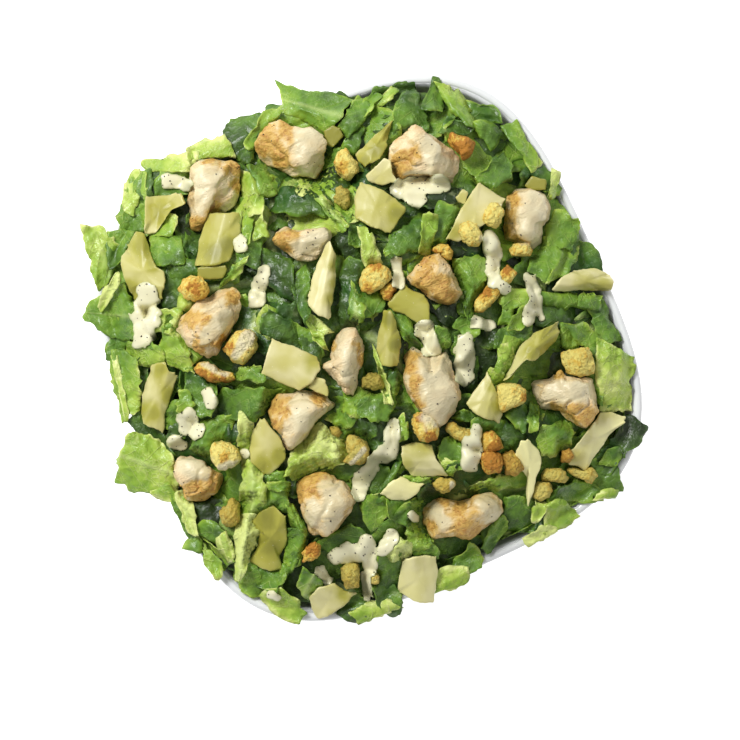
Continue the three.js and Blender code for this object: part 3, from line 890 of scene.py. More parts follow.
@dataclass
class LeafMesh:
    """Collects leaves into one mesh, with the marks that their material reads.

    gap, gap_range and the height of the dents are in millimetres, as a leaf's own heights are.
    """

    name: str
    cell: float = 1.5 * MM
    grow: float = 1.0
    thickness: float = 0.32 * MM
    inner_share: float = 0.965
    fewest: int = 9
    most_rows: int = 54
    most_columns: int = 46
    uv_size: float = 4 * MM
    stem_width: float = 1.3 * MM
    ridge_width: float = 1.5 * MM
    tears: Relief = Relief(2.2 * MM, 11 * MM)
    tooth_size: float = 4.4 * MM
    tooth_depth: float = 1.25 * MM
    wave_size: float = 5 * MM
    crumple_size: float = 7 * MM
    dents: Relief = Relief(1.2, 14 * MM, 1)
    pucker_size: float = 2.6 * MM
    droop: float = 0.5
    rim_clear: float = 0.9 * MM
    rim_slope: float = 1.3
    gap: float = 0.4
    gap_range: float = 2.4
    points: list = field(default_factory=list)
    faces: list = field(default_factory=list)
    marks: dict = field(default_factory=lambda: {"tone": [], "margin": [], "rib": []})
    uv: list = field(default_factory=list)
    count: int = 0

    def add(self, leaf: Leaf, seed: float, cover: Cover, keep_inside: bool = False) -> None:
        """Adds a leaf.

        Args:
            leaf: its outline and shape.
            seed: makes its margins and blisters its own.
            cover: keeps it under the toppings.
            keep_inside: whether it may not reach over the rim.
        """
        a, b, c, d = (np.array(p, float) for p in leaf.corners)
        side, way = b - a, d - a
        if side[0] * way[1] - side[1] * way[0] > 0:
            a, b, c, d = b, a, d, c
        middle = (a + b + c + d) / 4
        a, b, c, d = (middle + (corner - middle) * self.grow for corner in (a, b, c, d))
        length = np.linalg.norm((a + b - c - d) / 2) * PIXEL
        width = max(np.linalg.norm(a - b), np.linalg.norm(c - d)) * PIXEL
        rows = int(np.clip(length / self.cell, self.fewest, self.most_rows))
        columns = int(np.clip(width / self.cell, self.fewest, self.most_columns))
        grid = np.meshgrid(np.linspace(0, 1, rows), np.linspace(-1, 1, columns), indexing="ij")
        u, s = (g.ravel() for g in grid)
        flat = self._outline(leaf, (a, b, c, d), u, s)
        margin = np.maximum(np.abs(s), np.abs(2 * u - 1))
        flat = self._torn(flat, margin, seed)
        lift = self._relief(leaf, flat, u, s, margin, length, width, seed)
        x, y, z = place_on_heap(flat[:, 0], flat[:, 1], lift)
        if keep_inside:
            pull = np.minimum(1, self.inner_share / np.maximum(Heap.share(x, y), 0.1))
            x, y = x * pull, y * pull
            z = Heap.height(x, y) + lift
        z = np.maximum(z - self._droop(x, y), self._over_rim(x, y) + np.maximum(0, lift) * 0.4)
        z = np.minimum(z, cover(x, y) - (self.gap + self.gap_range * (seed * 0.37 % 1)) * MM)
        self.points.append(np.stack([x, y, z], axis=1))
        self.faces.append(grid_faces(rows, columns, self.count))
        self.count += rows * columns
        stem = np.exp(-((s * width / 2 / (self.stem_width * (1.2 - 0.7 * u))) ** 2)) * leaf.rib
        drift = 0.12 * np.sin(seed * 5 + u * 3) + 0.08 * math.sin(seed * 7) * s
        self.marks["tone"].append(leaf.tone + 0.03 * math.sin(seed * 9) + drift)
        # The margin mark is a painted highlight along each leaf's edge, broken up by noise
        inwards = np.minimum((1 - np.abs(s)) * width / 2, (1 - np.abs(2 * u - 1)) * length / 2)
        broken = smoothstep(-0.35, 0.35, rough(in_space(flat, seed), self.wave_size, 2, seed + 23))
        self.marks["margin"].append(smoothstep(1.0 * MM, 0.2 * MM, inwards) * broken)
        self.marks["rib"].append(stem)
        self.uv.append(np.stack([s * width / 2 / self.uv_size, u * length / self.uv_size + seed], axis=1))

    @staticmethod
    def _outline(leaf: Leaf, corners: Sequence[Array], u: Array, s: Array) -> Array:
        """The flat leaf between its corners, with swelling sides, in pixels."""
        a, b, c, d = corners
        left = a + (d - a) * u[:, None]
        right = b + (c - b) * u[:, None]
        middle, half = (left + right) / 2, (right - left) / 2
        swell = 1 + leaf.bow * 2 * np.sin(math.pi * u)
        tip = ((c + d) - (a + b)) / 2
        ahead = leaf.bow * (1 - s**2) * (smoothstep(0.5, 1.0, u) - smoothstep(0.5, 1.0, 1 - u) * 0.5)
        return middle + half * (s * swell)[:, None] + tip[None, :] * ahead[:, None]

    def _torn(self, flat: Array, margin: Array, seed: float) -> Array:
        """The flat leaf with its margin torn and toothed, in pixels."""
        centre = flat.mean(0)
        out = flat - centre
        out /= np.linalg.norm(out, axis=1)[:, None] + 1e-6
        space = in_space(flat)
        teeth = 1 - 2.2 * np.abs(rough(space, self.tooth_size, 2, seed + 3))
        tear = self.tears.on(space, seed) + self.tooth_depth * teeth
        return flat + out * (tear / PIXEL * margin**6)[:, None]

    def _relief(self, leaf: Leaf, flat: Array, u: Array, s: Array, margin: Array, length: float,
                width: float, seed: float) -> Array:
        """The height of each point of a leaf above the heap, in metres."""
        space = in_space(flat, seed)
        wave = rough(space, self.wave_size, 2, seed + 5)
        crumple = 0.6 - 1.5 * np.abs(rough(space, self.crumple_size, 2, seed + 11))
        crumple = crumple + self.dents.on(space, seed + 13)
        pucker = 0.3 - 0.8 * np.abs(rough(space, self.pucker_size, 1, seed + 17))
        stem = leaf.rib * np.exp(-((s * width / 2 / self.ridge_width) ** 2))
        own = np.sin(seed * np.array([12.9, 78.2, 37.7, 51.3]))
        long, wide = min(length / MM, 28.0), min(width / MM, 20.0)
        height = leaf.lift + 4.5 * (leaf.tone - 0.5) + (leaf.rise + 0.17 * long * own[0]) * (u - 0.5)
        height = height + (leaf.lean + 0.26 * wide * own[1]) * s / 2
        height = height + (leaf.fold + 0.20 * wide * own[2]) * (np.abs(s - 0.3 * own[0]) - 0.5)
        height = height + leaf.frill * wave * margin**3 * 2.4 + 1.2 * own[3] * margin**4
        return (height + crumple + pucker + stem * 0.7) * MM

    def _droop(self, x: Array, y: Array) -> Array:
        """How far a leaf hangs down outside the rim."""
        outside = square_radius(BOWL_WIDTH / 2, np.arctan2(y, x))
        return np.maximum(0, np.hypot(x, y) - outside) * self.droop

    def _over_rim(self, x: Array, y: Array) -> Array:
        """The least height at which a leaf clears the bowl's rim and wall."""
        inside = square_radius(BOWL_WIDTH / 2 - WALL, np.arctan2(y, x))
        slope = np.maximum(0, inside - 0.5 * MM - np.hypot(x, y)) * self.rim_slope
        return BOWL_HEIGHT + self.rim_clear - slope - self._droop(x, y)

    def build(self, material: Material, nodes: Iterable[str]) -> Piece:
        """Makes the piece from the leaves so far and gives them their thickness."""
        piece = mesh_piece(self.name, np.concatenate(self.points), np.concatenate(self.faces))
        for name, values in self.marks.items():
            write_mark(piece, name, np.concatenate(values))
        loops = np.empty(len(piece.data.loops), np.int32)
        piece.data.loops.foreach_get("vertex_index", loops)
        layer = piece.data.uv_layers.new(name="UVMap")
        layer.data.foreach_set("uv", np.concatenate(self.uv)[loops].ravel().astype(np.float32))
        modify(piece, "SOLIDIFY", thickness=self.thickness, offset=-1.0)
        return dress(piece, material, Slot.LETTUCE, nodes)


def leaves_from(*rows: tuple) -> tuple[Leaf, ...]:
    """Leaves from rows of their corners' pixels, one after another, and then their other values."""
    return tuple(Leaf(pixels(*corners), *shape) for corners, *shape in rows)


# The leaves that show in the photograph, round the rim and across the middle. A row holds the corners, then
# tone, lift, rise, lean, fold, frill, rib and bow. The last ones are left out where they are the usual ones.
TOP_LEFT_LEAVES = leaves_from(
    ((350, 100, 324, 130, 278, 112, 281, 84), 0.56, 3.5, 2, 0, -1.0, 0.3, 0.4, -0.05),
    ((248, 160, 224, 143, 231, 120, 268, 116), 0.30, 2.5, 1, 0, 1),
    ((246, 142, 256, 150, 276, 116, 262, 114), 0.62, 4, 0, 0, 1, 0.2),
    ((190, 160, 231, 157, 222, 136, 192, 148), 0.80, 3, 1, 0, 0, 1.4),
    ((158, 194, 190, 192, 192, 166, 162, 170), 0.45, 1.0, 0, 0, 0, 0.3),
    ((146, 160, 150, 170, 190, 170, 192, 153), 0.82, 2.5, 0, 0, 1, 1.0),
    ((146, 196, 164, 192, 166, 168, 147, 168), 0.14, 2, 0, 0, 1, 0.4),
    ((138, 196, 150, 200, 148, 172, 138, 184), 0.28, 2, 0, 0, 0, 0.4),
    ((124, 236, 146, 232, 144, 176, 124, 186), 0.52, 0, 0, 3, 2, 1.4),
    ((122, 210, 134, 214, 138, 172, 124, 184), 0.82, 1, 0, 0, 1, 1.2),
)
TOP_LEAVES = leaves_from(
    ((376, 90, 412, 86, 406, 104, 366, 128), 0.12, 0.5),
    ((372, 103, 378, 107, 396, 92, 390, 88), 0.54, 3.5),
    ((358, 112, 366, 114, 382, 96, 374, 92), 0.42, 2.5),
    ((362, 124, 378, 132, 402, 108, 390, 100), 0.06, 1.5),
    ((386, 136, 426, 128, 422, 106, 408, 92), 0.30, 3, 1),
    ((424, 106, 441, 108, 441, 84, 433, 80), 0.35, 2.5),
    ((436, 84, 446, 84, 478, 124, 462, 122), 0.58, 3, 0, 2),
    ((440, 132, 448, 118, 470, 126, 466, 136), 0.20, 2),
    ((448, 100, 442, 90, 486, 110, 480, 122), 0.36, -1.0, 0, 0, 0, 0.2),
    ((542, 204, 552, 196, 574, 236, 562, 242), 0.40, -1.0, 0, 0, 0, 0.2),
    ((462, 102, 464, 116, 500, 122, 492, 106), 0.38, 2.5),
    ((474, 128, 482, 122, 502, 132, 490, 148), 0.42, 3),
    ((482, 190, 478, 176, 504, 150, 508, 176), 0.42, 2.5),
    ((408, 202, 418, 190, 462, 188, 446, 208), 0.08, 1, 0, 0, 0, 0.2),
    ((384, 256, 392, 234, 452, 208, 440, 242), 0.42, 2.5, 1),
    ((420, 250, 430, 252, 436, 220, 424, 218), 0.75, 4, 0, 0, 1, 1.4),
    ((432, 238, 446, 238, 462, 212, 440, 206), 0.50, 3, 0, 0, 0, 0.3),
    ((340, 125, 350, 132, 372, 105, 358, 95), 0.46, 3),
    ((326, 122, 340, 128, 358, 104, 340, 98), 0.05, 1),
    ((505, 130, 518, 124, 540, 160, 530, 168), 0.68, 2.5),
    ((522, 188, 526, 168, 556, 172, 556, 192), 0.42, 3, 2, 0, 2),
    ((549, 196, 556, 196, 560, 174, 552, 172), 0.92, 5),
)
UPPER_LEAVES = leaves_from(
    ((262, 198, 275, 192, 262, 160, 249, 168), 0.45, 3, 1),
    ((243, 214, 262, 214, 262, 198, 248, 196), 0.85, 3.5, 0, 0, 0, 1.6),
    ((275, 210, 330, 215, 318, 190, 288, 190), 0.14, 3, 1),
    ((300, 182, 308, 178, 345, 222, 335, 222), 0.70, 4.5, 0, 0, 1, 0.3, 0.6),
    ((297, 186, 303, 191, 312, 178, 304, 174), 0.90, 6.5),
    ((326, 166, 340, 170, 346, 154, 334, 148), 0.45, 2),
    ((318, 188, 340, 192, 346, 170, 326, 164), 0.20, 1),
    ((342, 148, 356, 152, 364, 130, 350, 124), 0.46, 2),
    ((338, 230, 346, 232, 352, 212, 342, 208), 0.62, 4),
    ((350, 244, 362, 246, 366, 218, 352, 214), 0.40, 2.5),
    ((359, 230, 368, 230, 378, 258, 368, 270), 0.85, 4, 0, 0, 1),
    ((334, 235, 345, 262, 360, 255, 348, 232), 0.12, 2),
    ((340, 328, 358, 330, 362, 266, 344, 262), 0.18, 0.5, 0, 3),
    ((350, 325, 362, 320, 360, 290, 352, 285), 0.60, 2, 0, 0, 0, 0.3, 0.5),
    ((244, 250, 249, 240, 254, 212, 243, 210), 0.70, 3),
    ((254, 238, 268, 238, 262, 214, 256, 222), 0.85, 3.5),
    ((240, 260, 258, 264, 264, 238, 244, 234), 0.42, 2),
    ((222, 285, 232, 268, 247, 258, 240, 272), 0.62, 2),
    ((250, 268, 292, 300, 286, 262, 252, 250), 0.08, 1),
    ((290, 286, 304, 318, 312, 300, 306, 268), 0.24, 3, 1, 2),
    ((300, 305, 312, 332, 330, 330, 306, 312), 0.74, 2.5),
    ((278, 325, 300, 330, 300, 302, 280, 306), 0.06, 2, 0, 0, 2),
    ((262, 335, 300, 350, 312, 335, 270, 312), 0.22, 1.5),
    ((300, 358, 314, 362, 320, 338, 304, 334), 0.14, 2),
    ((307, 325, 318, 345, 328, 350, 314, 328), 0.70, 3.5, 0, 0, 0, 1.6),
    ((360, 293, 380, 294, 385, 305, 362, 322), 0.35, 1.5, 0, 0, 0, 0.2),
    ((390, 312, 402, 314, 420, 345, 408, 342), 0.28, 3, 0, 2),
    ((432, 352, 448, 348, 452, 334, 436, 328), 0.42, 2),
    ((450, 356, 460, 358, 472, 342, 456, 336), 0.45, 2),
    ((455, 328, 474, 334, 478, 320, 460, 314), 0.40, 2.5),
    ((456, 262, 488, 262, 474, 306, 466, 302), 0.45, 3.5, 1, 0, 0, 0.4, 0, 0.2),
    ((480, 346, 500, 350, 506, 332, 484, 332), 0.15, 1),
    ((500, 360, 510, 362, 518, 344, 506, 340), 0.70, 3),
)
LEFT_LEAVES = leaves_from(
    ((100, 288, 122, 262, 105, 230, 83, 229), 0.70, 3, 1, 0, 0, 1.0, 0.3),
    ((110, 268, 122, 262, 130, 236, 110, 236), 0.32, 3.5, 0, 0, 0, 0.3),
    ((122, 232, 138, 234, 142, 212, 126, 208), 0.38, 2),
    ((150, 234, 172, 236, 176, 218, 152, 214), 0.65, 2.5),
    ((150, 262, 180, 262, 180, 238, 152, 234), 0.45, 2.5, 0, 0, 1),
    ((164, 308, 180, 310, 184, 270, 166, 266), 0.20, 1),
    ((100, 304, 103, 309, 119, 280, 115, 275), 0.90, 4),
    ((152, 347, 124, 288, 94, 307, 89, 319), 0.42, 3, 0, 0, 1, 0.8, 0.3),
    ((108, 358, 122, 360, 126, 336, 112, 332), 0.32, 0),
    ((130, 360, 158, 364, 160, 348, 132, 344), 0.60, 2),
    ((152, 330, 178, 336, 182, 309, 155, 312), 0.80, 3.5, 0, 0, 0, 1.6),
    ((164, 328, 180, 330, 184, 316, 166, 314), 0.34, 4),
    ((160, 360, 192, 370, 182, 330, 165, 332), 0.62, 2.5),
    ((182, 308, 196, 308, 200, 296, 184, 292), 0.75, 2.5),
    ((122, 420, 140, 408, 134, 362, 114, 357), 0.62, 2.5, 0, 0, 1),
    ((113, 362, 118, 360, 128, 408, 124, 416), 0.90, 3),
    ((134, 372, 142, 392, 152, 358, 140, 358), 0.25, 1),
    ((127, 420, 140, 410, 170, 452, 148, 446), 0.22, 1.5),
    ((178, 495, 166, 452, 133, 433, 117, 482), 0.80, 3, 0, 0, 0, 1.2, 0.6),
    ((186, 410, 210, 415, 216, 380, 188, 374), 0.42, 3, 0, 0, 1),
    ((178, 410, 190, 412, 194, 396, 180, 392), 0.66, 3.5, 0, 0, 0, 1.5),
    ((167, 428, 181, 430, 184, 408, 165, 408), 0.50, 2),
    ((168, 437, 184, 438, 186, 424, 170, 422), 0.20, 2.5),
    ((188, 450, 212, 455, 232, 418, 200, 425), 0.52, 2.5),
)
LOWER_LEFT_LEAVES = leaves_from(
    ((150, 494, 170, 500, 186, 500, 168, 486), 0.70, 2),
    ((176, 494, 186, 496, 196, 532, 188, 530), 0.95, 3.5, 0, 0, 1, 1.2, 0.5),
    ((168, 492, 180, 498, 196, 536, 186, 534), 0.42, 1.5),
    ((186, 500, 218, 500, 222, 528, 192, 528), 0.10, 1.5),
    ((196, 530, 206, 524, 226, 532, 218, 541), 0.42, 3, 0, 0, 0, 0.3),
    ((232, 568, 230, 540, 198, 536, 206, 552), 0.06, 2),
    ((200, 550, 198, 536, 192, 540, 186, 547), 0.53, 2.5),
    ((204, 552, 211, 551, 220, 570, 215, 577), 0.68, 3, 0, 0, 0, 1.4),
    ((219, 538, 226, 534, 232, 554, 227, 558), 0.85, 3.5, 0, 0, 0, 1.2),
    ((222, 412, 250, 422, 280, 392, 228, 390), 0.42, 2.5, 1, 0, 0, 0.3),
    ((236, 378, 262, 380, 262, 366, 242, 366), 0.64, 3),
    ((226, 450, 240, 452, 244, 416, 230, 412), 0.20, 1),
    ((238, 450, 250, 450, 254, 424, 241, 418), 0.92, 3.5, 0, 0, 0, 1.4),
    ((241, 520, 262, 512, 262, 452, 244, 450), 0.80, 4, 0, 0, 1, 0.8, 0.5),
    ((236, 578, 244, 574, 259, 528, 238, 524), 1.00, 4.5, 0, 0, 1, 1.2, 0.6),
    ((286, 476, 318, 476, 352, 452, 316, 424), 0.80, 3.5, 0, 0, 0, 0.8),
    ((268, 484, 286, 484, 284, 472, 266, 474), 0.38, 3),
    ((270, 490, 287, 490, 287, 484, 270, 483), 0.38, 3.5),
    ((258, 500, 272, 502, 274, 476, 260, 474), 0.18, 1.5),
    ((260, 508, 284, 510, 284, 488, 264, 486), 0.38, 2),
    ((256, 586, 276, 592, 284, 572, 262, 572), 0.36, 3),
    ((274, 590, 281, 590, 289, 572, 281, 568), 0.42, 4, 0, 0, 0, 1.2),
    ((264, 598, 282, 592, 302, 612, 296, 621), 0.66, 2.5, 0, 0, 0, 1.3),
    ((242, 590, 262, 596, 268, 566, 246, 560), 0.45, 1.5),
    ((288, 508, 294, 508, 308, 534, 300, 538), 0.40, 3.5),
    ((284, 560, 300, 562, 304, 532, 286, 530), 0.40, 3),
    ((286, 566, 292, 568, 298, 552, 290, 549), 0.36, 4),
    ((300, 586, 310, 598, 322, 584, 304, 570), 0.50, 3.5, 0, 0, 1, 0.3, 0.6),
)
CENTRE_LEAVES = leaves_from(
    ((328, 418, 345, 428, 352, 405, 335, 400), 0.45, 3),
    ((345, 410, 362, 420, 368, 395, 346, 392), 0.60, 2.5),
    ((340, 438, 368, 442, 372, 424, 344, 418), 0.34, 1),
    ((384, 400, 392, 400, 382, 368, 374, 350), 0.98, 4.5, 0, 0, 1),
    ((385, 388, 395, 390, 399, 374, 388, 368), 0.46, 2),
    ((360, 416, 385, 418, 392, 398, 360, 400), 0.48, 3),
    ((366, 446, 384, 450, 386, 418, 362, 416), 0.26, 1.5, 0, 0, 2, 1.6),
    ((400, 442, 408, 442, 404, 415, 398, 420), 0.70, 3),
    ((438, 456, 462, 470, 466, 446, 444, 438), 0.52, 2.5),
    ((440, 474, 454, 476, 456, 464, 442, 462), 0.72, 2),
    ((452, 418, 478, 422, 470, 412, 458, 412), 0.45, 2),
    ((476, 432, 505, 440, 510, 425, 478, 420), 0.42, 2),
    ((500, 374, 510, 376, 514, 352, 503, 350), 0.78, 3),
    ((488, 384, 502, 388, 506, 374, 492, 370), 0.73, 2.5),
    ((372, 500, 392, 470, 400, 465, 385, 498), 0.30, 2),
    ((405, 483, 432, 484, 438, 478, 408, 476), 0.55, 2.5),
    ((468, 492, 528, 484, 520, 473, 478, 484), 0.55, 2),
    ((360, 500, 372, 528, 388, 514, 382, 494), 0.50, 3.5, 0, 0, 0, 0.2),
    ((386, 518, 408, 524, 418, 504, 386, 500), 0.40, 3),
    ((408, 552, 428, 546, 432, 524, 410, 514), 0.62, 3.5),
    ((402, 550, 434, 556, 432, 540, 408, 540), 0.45, 3),
    ((382, 554, 404, 560, 410, 546, 398, 540), 0.85, 4.5, 0, 0, 0, 2.0),
)
RIGHT_LEAVES = leaves_from(
    ((552, 246, 570, 246, 580, 222, 556, 214), 0.56, 3.5, 0, 0, 0, 0.3),
    ((530, 270, 548, 284, 562, 254, 544, 242), 0.54, 3),
    ((549, 280, 570, 276, 578, 246, 562, 248), 0.69, 2.5, 0, 0, 0, 1.2),
    ((572, 274, 598, 270, 590, 248, 576, 240), 0.34, 0.5),
    ((541, 304, 541, 292, 600, 300, 590, 310), 0.48, 3),
    ((580, 305, 598, 308, 602, 296, 584, 292), 0.45, 3.5),
    ((503, 308, 524, 306, 526, 292, 504, 292), 0.63, 3.5),
    ((500, 322, 511, 322, 513, 306, 502, 304), 0.44, 3),
    ((508, 330, 520, 328, 532, 314, 520, 310), 0.62, 3),
    ((540, 324, 568, 326, 572, 308, 544, 304), 0.17, 1),
    ((590, 308, 602, 300, 619, 338, 602, 345), 0.42, 2.5),
    ((572, 330, 584, 326, 600, 345, 590, 353), 0.43, 3),
    ((560, 350, 578, 350, 582, 328, 562, 324), 0.42, 2),
    ((500, 345, 504, 332, 528, 326, 526, 340), 0.17, 2),
    ((504, 358, 532, 362, 540, 340, 512, 334), 0.36, 1.5),
    ((602, 405, 628, 404, 632, 360, 600, 345), 0.76, 3, 0, 0, 0, 1.0),
    ((588, 398, 602, 402, 606, 354, 592, 350), 0.40, 1.5, 0, 0, 0, 0.3),
    ((592, 465, 612, 470, 643, 433, 626, 421), 0.10, 3.5, 0, 0, 0, 0.3),
    ((603, 462, 616, 464, 620, 452, 608, 450), 0.45, 4),
    ((562, 502, 588, 463, 614, 464, 622, 491), 0.34, 3, 0, 0, 0, 0.3),
    ((594, 500, 598, 494, 620, 491, 617, 497), 0.74, 3),
    ((552, 500, 600, 500, 590, 484, 560, 488), 0.40, 2),
    ((508, 415, 522, 432, 530, 420, 516, 403), 0.38, 3),
    ((530, 430, 538, 430, 540, 408, 532, 405), 0.60, 3),
    ((542, 450, 568, 450, 572, 424, 546, 428), 0.70, 2.5, 0, 0, 0, 1.2),
    ((500, 450, 518, 452, 522, 428, 504, 424), 0.30, 1),
)
BOTTOM_LEAVES = leaves_from(
    ((548, 530, 552, 506, 574, 510, 577, 518), 0.80, 3),
    ((525, 538, 532, 544, 556, 532, 548, 526), 1.08, 3),
    ((533, 522, 540, 520, 549, 508, 536, 500), 0.90, 4),
    ((536, 528, 550, 526, 553, 508, 542, 512), 0.14, 2.5),
    ((502, 530, 530, 528, 534, 506, 506, 500), 0.42, 2),
    ((484, 546, 492, 548, 506, 524, 498, 520), 0.50, 2),
    ((456, 566, 476, 570, 480, 558, 470, 546), 0.55, 3, 0, 0, 0, 1.4),
    ((436, 592, 464, 586, 464, 570, 440, 574), 0.84, 2.5, 0, 0, 0, 1.2),
    ((438, 576, 460, 570, 462, 558, 440, 560), 0.10, 1.5),
    ((438, 566, 462, 556, 480, 540, 440, 542), 0.18, 0),
    ((376, 600, 396, 604, 400, 556, 380, 552), 0.25, 2, 0, 0, 0, 1.0),
    ((378, 606, 398, 612, 400, 590, 374, 582), 0.25, 3),
    ((350, 612, 362, 622, 400, 608, 384, 600), 0.78, 2.5, 0, 0, 0, 1.5),
    ((340, 612, 360, 616, 368, 600, 350, 596), 0.20, 2),
    ((232, 562, 238, 580, 290, 606, 282, 590), 0.72, -1.0, 0, 0, 0, 0.2),
)
GAP_LEAVES = leaves_from(
    ((262, 134, 318, 140, 316, 104, 270, 106), 0.34, 0.5, 0, 0, 0, 0.2),
    ((188, 512, 204, 540, 232, 560, 214, 566), 0.58, -0.5, 0, 0, 0, 0.2),
)
OUTER_LEAVES = TOP_LEFT_LEAVES + TOP_LEAVES + LEFT_LEAVES + RIGHT_LEAVES + BOTTOM_LEAVES + GAP_LEAVES
INNER_LEAVES = UPPER_LEAVES + LOWER_LEFT_LEAVES + CENTRE_LEAVES


@dataclass
class Lettuce:
    """The heap: a core painted dark as painted shade, leaves scattered over it, and the leaves that the
    photograph shows.

    The scattered leaves' spread, lengths and widths are in pixels, and their lifts, tilts, folds and frills
    in millimetres.
    """

    romaine: Romaine = Romaine()
    # The core's material, painted dark as painted shade
    dark: ShadePaintedLeaf = ShadePaintedLeaf()
    shown_cell: float = 0.8 * MM
    shown_grow: float = 1.12
    fillers: int = 150
    clear: float = 1.6 * MM
    depth: float = 13 * MM
    core_gap: float = 1.5 * MM
    seed: int = 11
    spread: float = 225.0
    lengths: Span = (62, 105)
    widths: Span = (36, 62)
    lifts: Span = (-12, -3)
    tilts: Span = (-7, 7)
    folds: Span = (-3, 3)
    frills: Span = (0.5, 1.6)
    core_segments: int = 120
    core_rings: int = 24
    core_lumps: Relief = Relief(1.6 * MM, 14 * MM, 3)

    def build(self, cover: Cover) -> list[Piece]:
        """Makes the core and the leaves.

        Args:
            cover: how low the toppings come.

        Returns:
            The pieces.
        """
        leaf_green = self.romaine.material()
        under = LeafMesh("leaves_under")
        for number, leaf in enumerate(self._scattered()):
            under.add(leaf, 40.5 + number * 1.7, cover, keep_inside=True)
        shown = []
        for part, leaves in enumerate((OUTER_LEAVES, INNER_LEAVES)):
            name = ("leaves_outer", "leaves_inner")[part]
            over = LeafMesh(name, cell=self.shown_cell, grow=self.shown_grow)
            for number, leaf in enumerate(leaves):
                over.add(leaf, 3.3 + number * 1.3 + part * 0.7, cover)
            shown.append(over.build(leaf_green, ["lettuce_heap"]))
        return [self._core(cover), under.build(leaf_green, ["lettuce_heap"]), *shown]

    def _scattered(self) -> Iterable[Leaf]:
        """Leaves laid all over the heap, below the ones that the photograph shows."""
        draw = np.random.default_rng(self.seed)
        golden = math.pi * (3 - math.sqrt(5))
        for number in range(self.fillers):
            share = math.sqrt((number + 0.5) / self.fillers)
            angle = number * golden
            reach = share * square_radius(self.spread, angle - BOWL_TURN)
            middle = np.array([BOWL_MIDDLE[0] + reach * math.cos(angle),
                               BOWL_MIDDLE[1] - reach * math.sin(angle)])
            turn = draw.uniform(0, 2 * math.pi)
            way = np.array([math.cos(turn), math.sin(turn)])
            side = np.array([-way[1], way[0]])
            length, width = draw.uniform(*self.lengths), draw.uniform(*self.widths)
            taper = draw.uniform(0.7, 1.1)
            stem, tip = middle - way * length / 2, middle + way * length / 2
            half = side * width / 2
            corners = (stem - half, stem + half, tip + half * taper, tip - half * taper)
            # Their tone is kept dark, and darker towards the middle: partly the leaves' own greens, partly
            # painted shade for the heap's depth
            yield Leaf(tuple(tuple(corner) for corner in corners),
                       tone=draw.beta(1.8, 4.6) * (0.68 + 0.4 * share),
                       lift=draw.uniform(*self.lifts) * (1 - 0.5 * share**4),
                       rise=draw.uniform(*self.tilts), lean=draw.uniform(*self.tilts),
                       fold=draw.uniform(*self.folds), frill=draw.uniform(*self.frills),
                       rib=draw.choice((0.0, 0.0, 0.7)), bow=0.12)

    def _core(self, cover: Cover) -> Piece:
        """The inside of the heap, painted dark as painted shade and paler beside the wall as painted light.
        """
        inner = Bowl().wall_line(WALL + self.clear)
        inner = inner[inner[:, 1] < BOWL_HEIGHT - self.depth - 2 * MM]
        shares = np.linspace(0.96, 0.0, self.core_rings + 1)[:-1]
        top = [(share * (BOWL_WIDTH / 2 - WALL), BOWL_HEIGHT) for share in shares]
        base = (inner[0][0], Bowl.floor + self.clear)
        profile = np.array([base, *inner[inner[:, 1] > base[1] + MM], *top])
        piece = turned("lettuce_core", profile, self.core_segments)
        points = points_of(piece)
        upper = points[:, 2] > BOWL_HEIGHT - MM
        share = Heap.share(points[:, 0], points[:, 1])
        height = Heap.height(points[:, 0], points[:, 1]) - self.depth * (1 - 0.68 * share**6)
        height += self.core_lumps.on(points * np.array([1, 1, 0]), 4.2)
        height = np.minimum(height, cover(points[:, 0], points[:, 1]) - self.core_gap)
        points[upper, 2] = height[upper]
        move_points(piece, points)
        # Painted light: the core's top is marked paler where it nears the wall
        write_mark(piece, "painted_light", smoothstep(0.84, 0.97, share) * upper)
        return dress(piece, self.dark.material(), Slot.LETTUCE, ["lettuce_heap"])


# Toppings

@dataclass(frozen=True)
class Morsel:
    """A topping's outline in the photograph, its shade, and the patches where that is stronger.

    shade is how browned a chunk or crumb is, from 0 to 1, on a few chunks partly painted shade. On a shaving
    it is painted shade, olive up to 1 and darker above 1, and below 0 painted light, creamier. Each patch is
    a pixel and a radius in pixels. olive is how greenish a crumb is, partly herbs and partly painted shade.
    """

    outline: tuple[Pixel, ...]
    shade: float = 0.0
    patches: tuple[tuple[float, float, float], ...] = ()
    olive: float = 0.0


def morsels_from(*rows: tuple) -> tuple[Morsel, ...]:
    """Morsels from rows of their outlines' pixels, one after another, and then their other values."""
    return tuple(Morsel(pixels(*outline), *marks) for outline, *marks in rows)


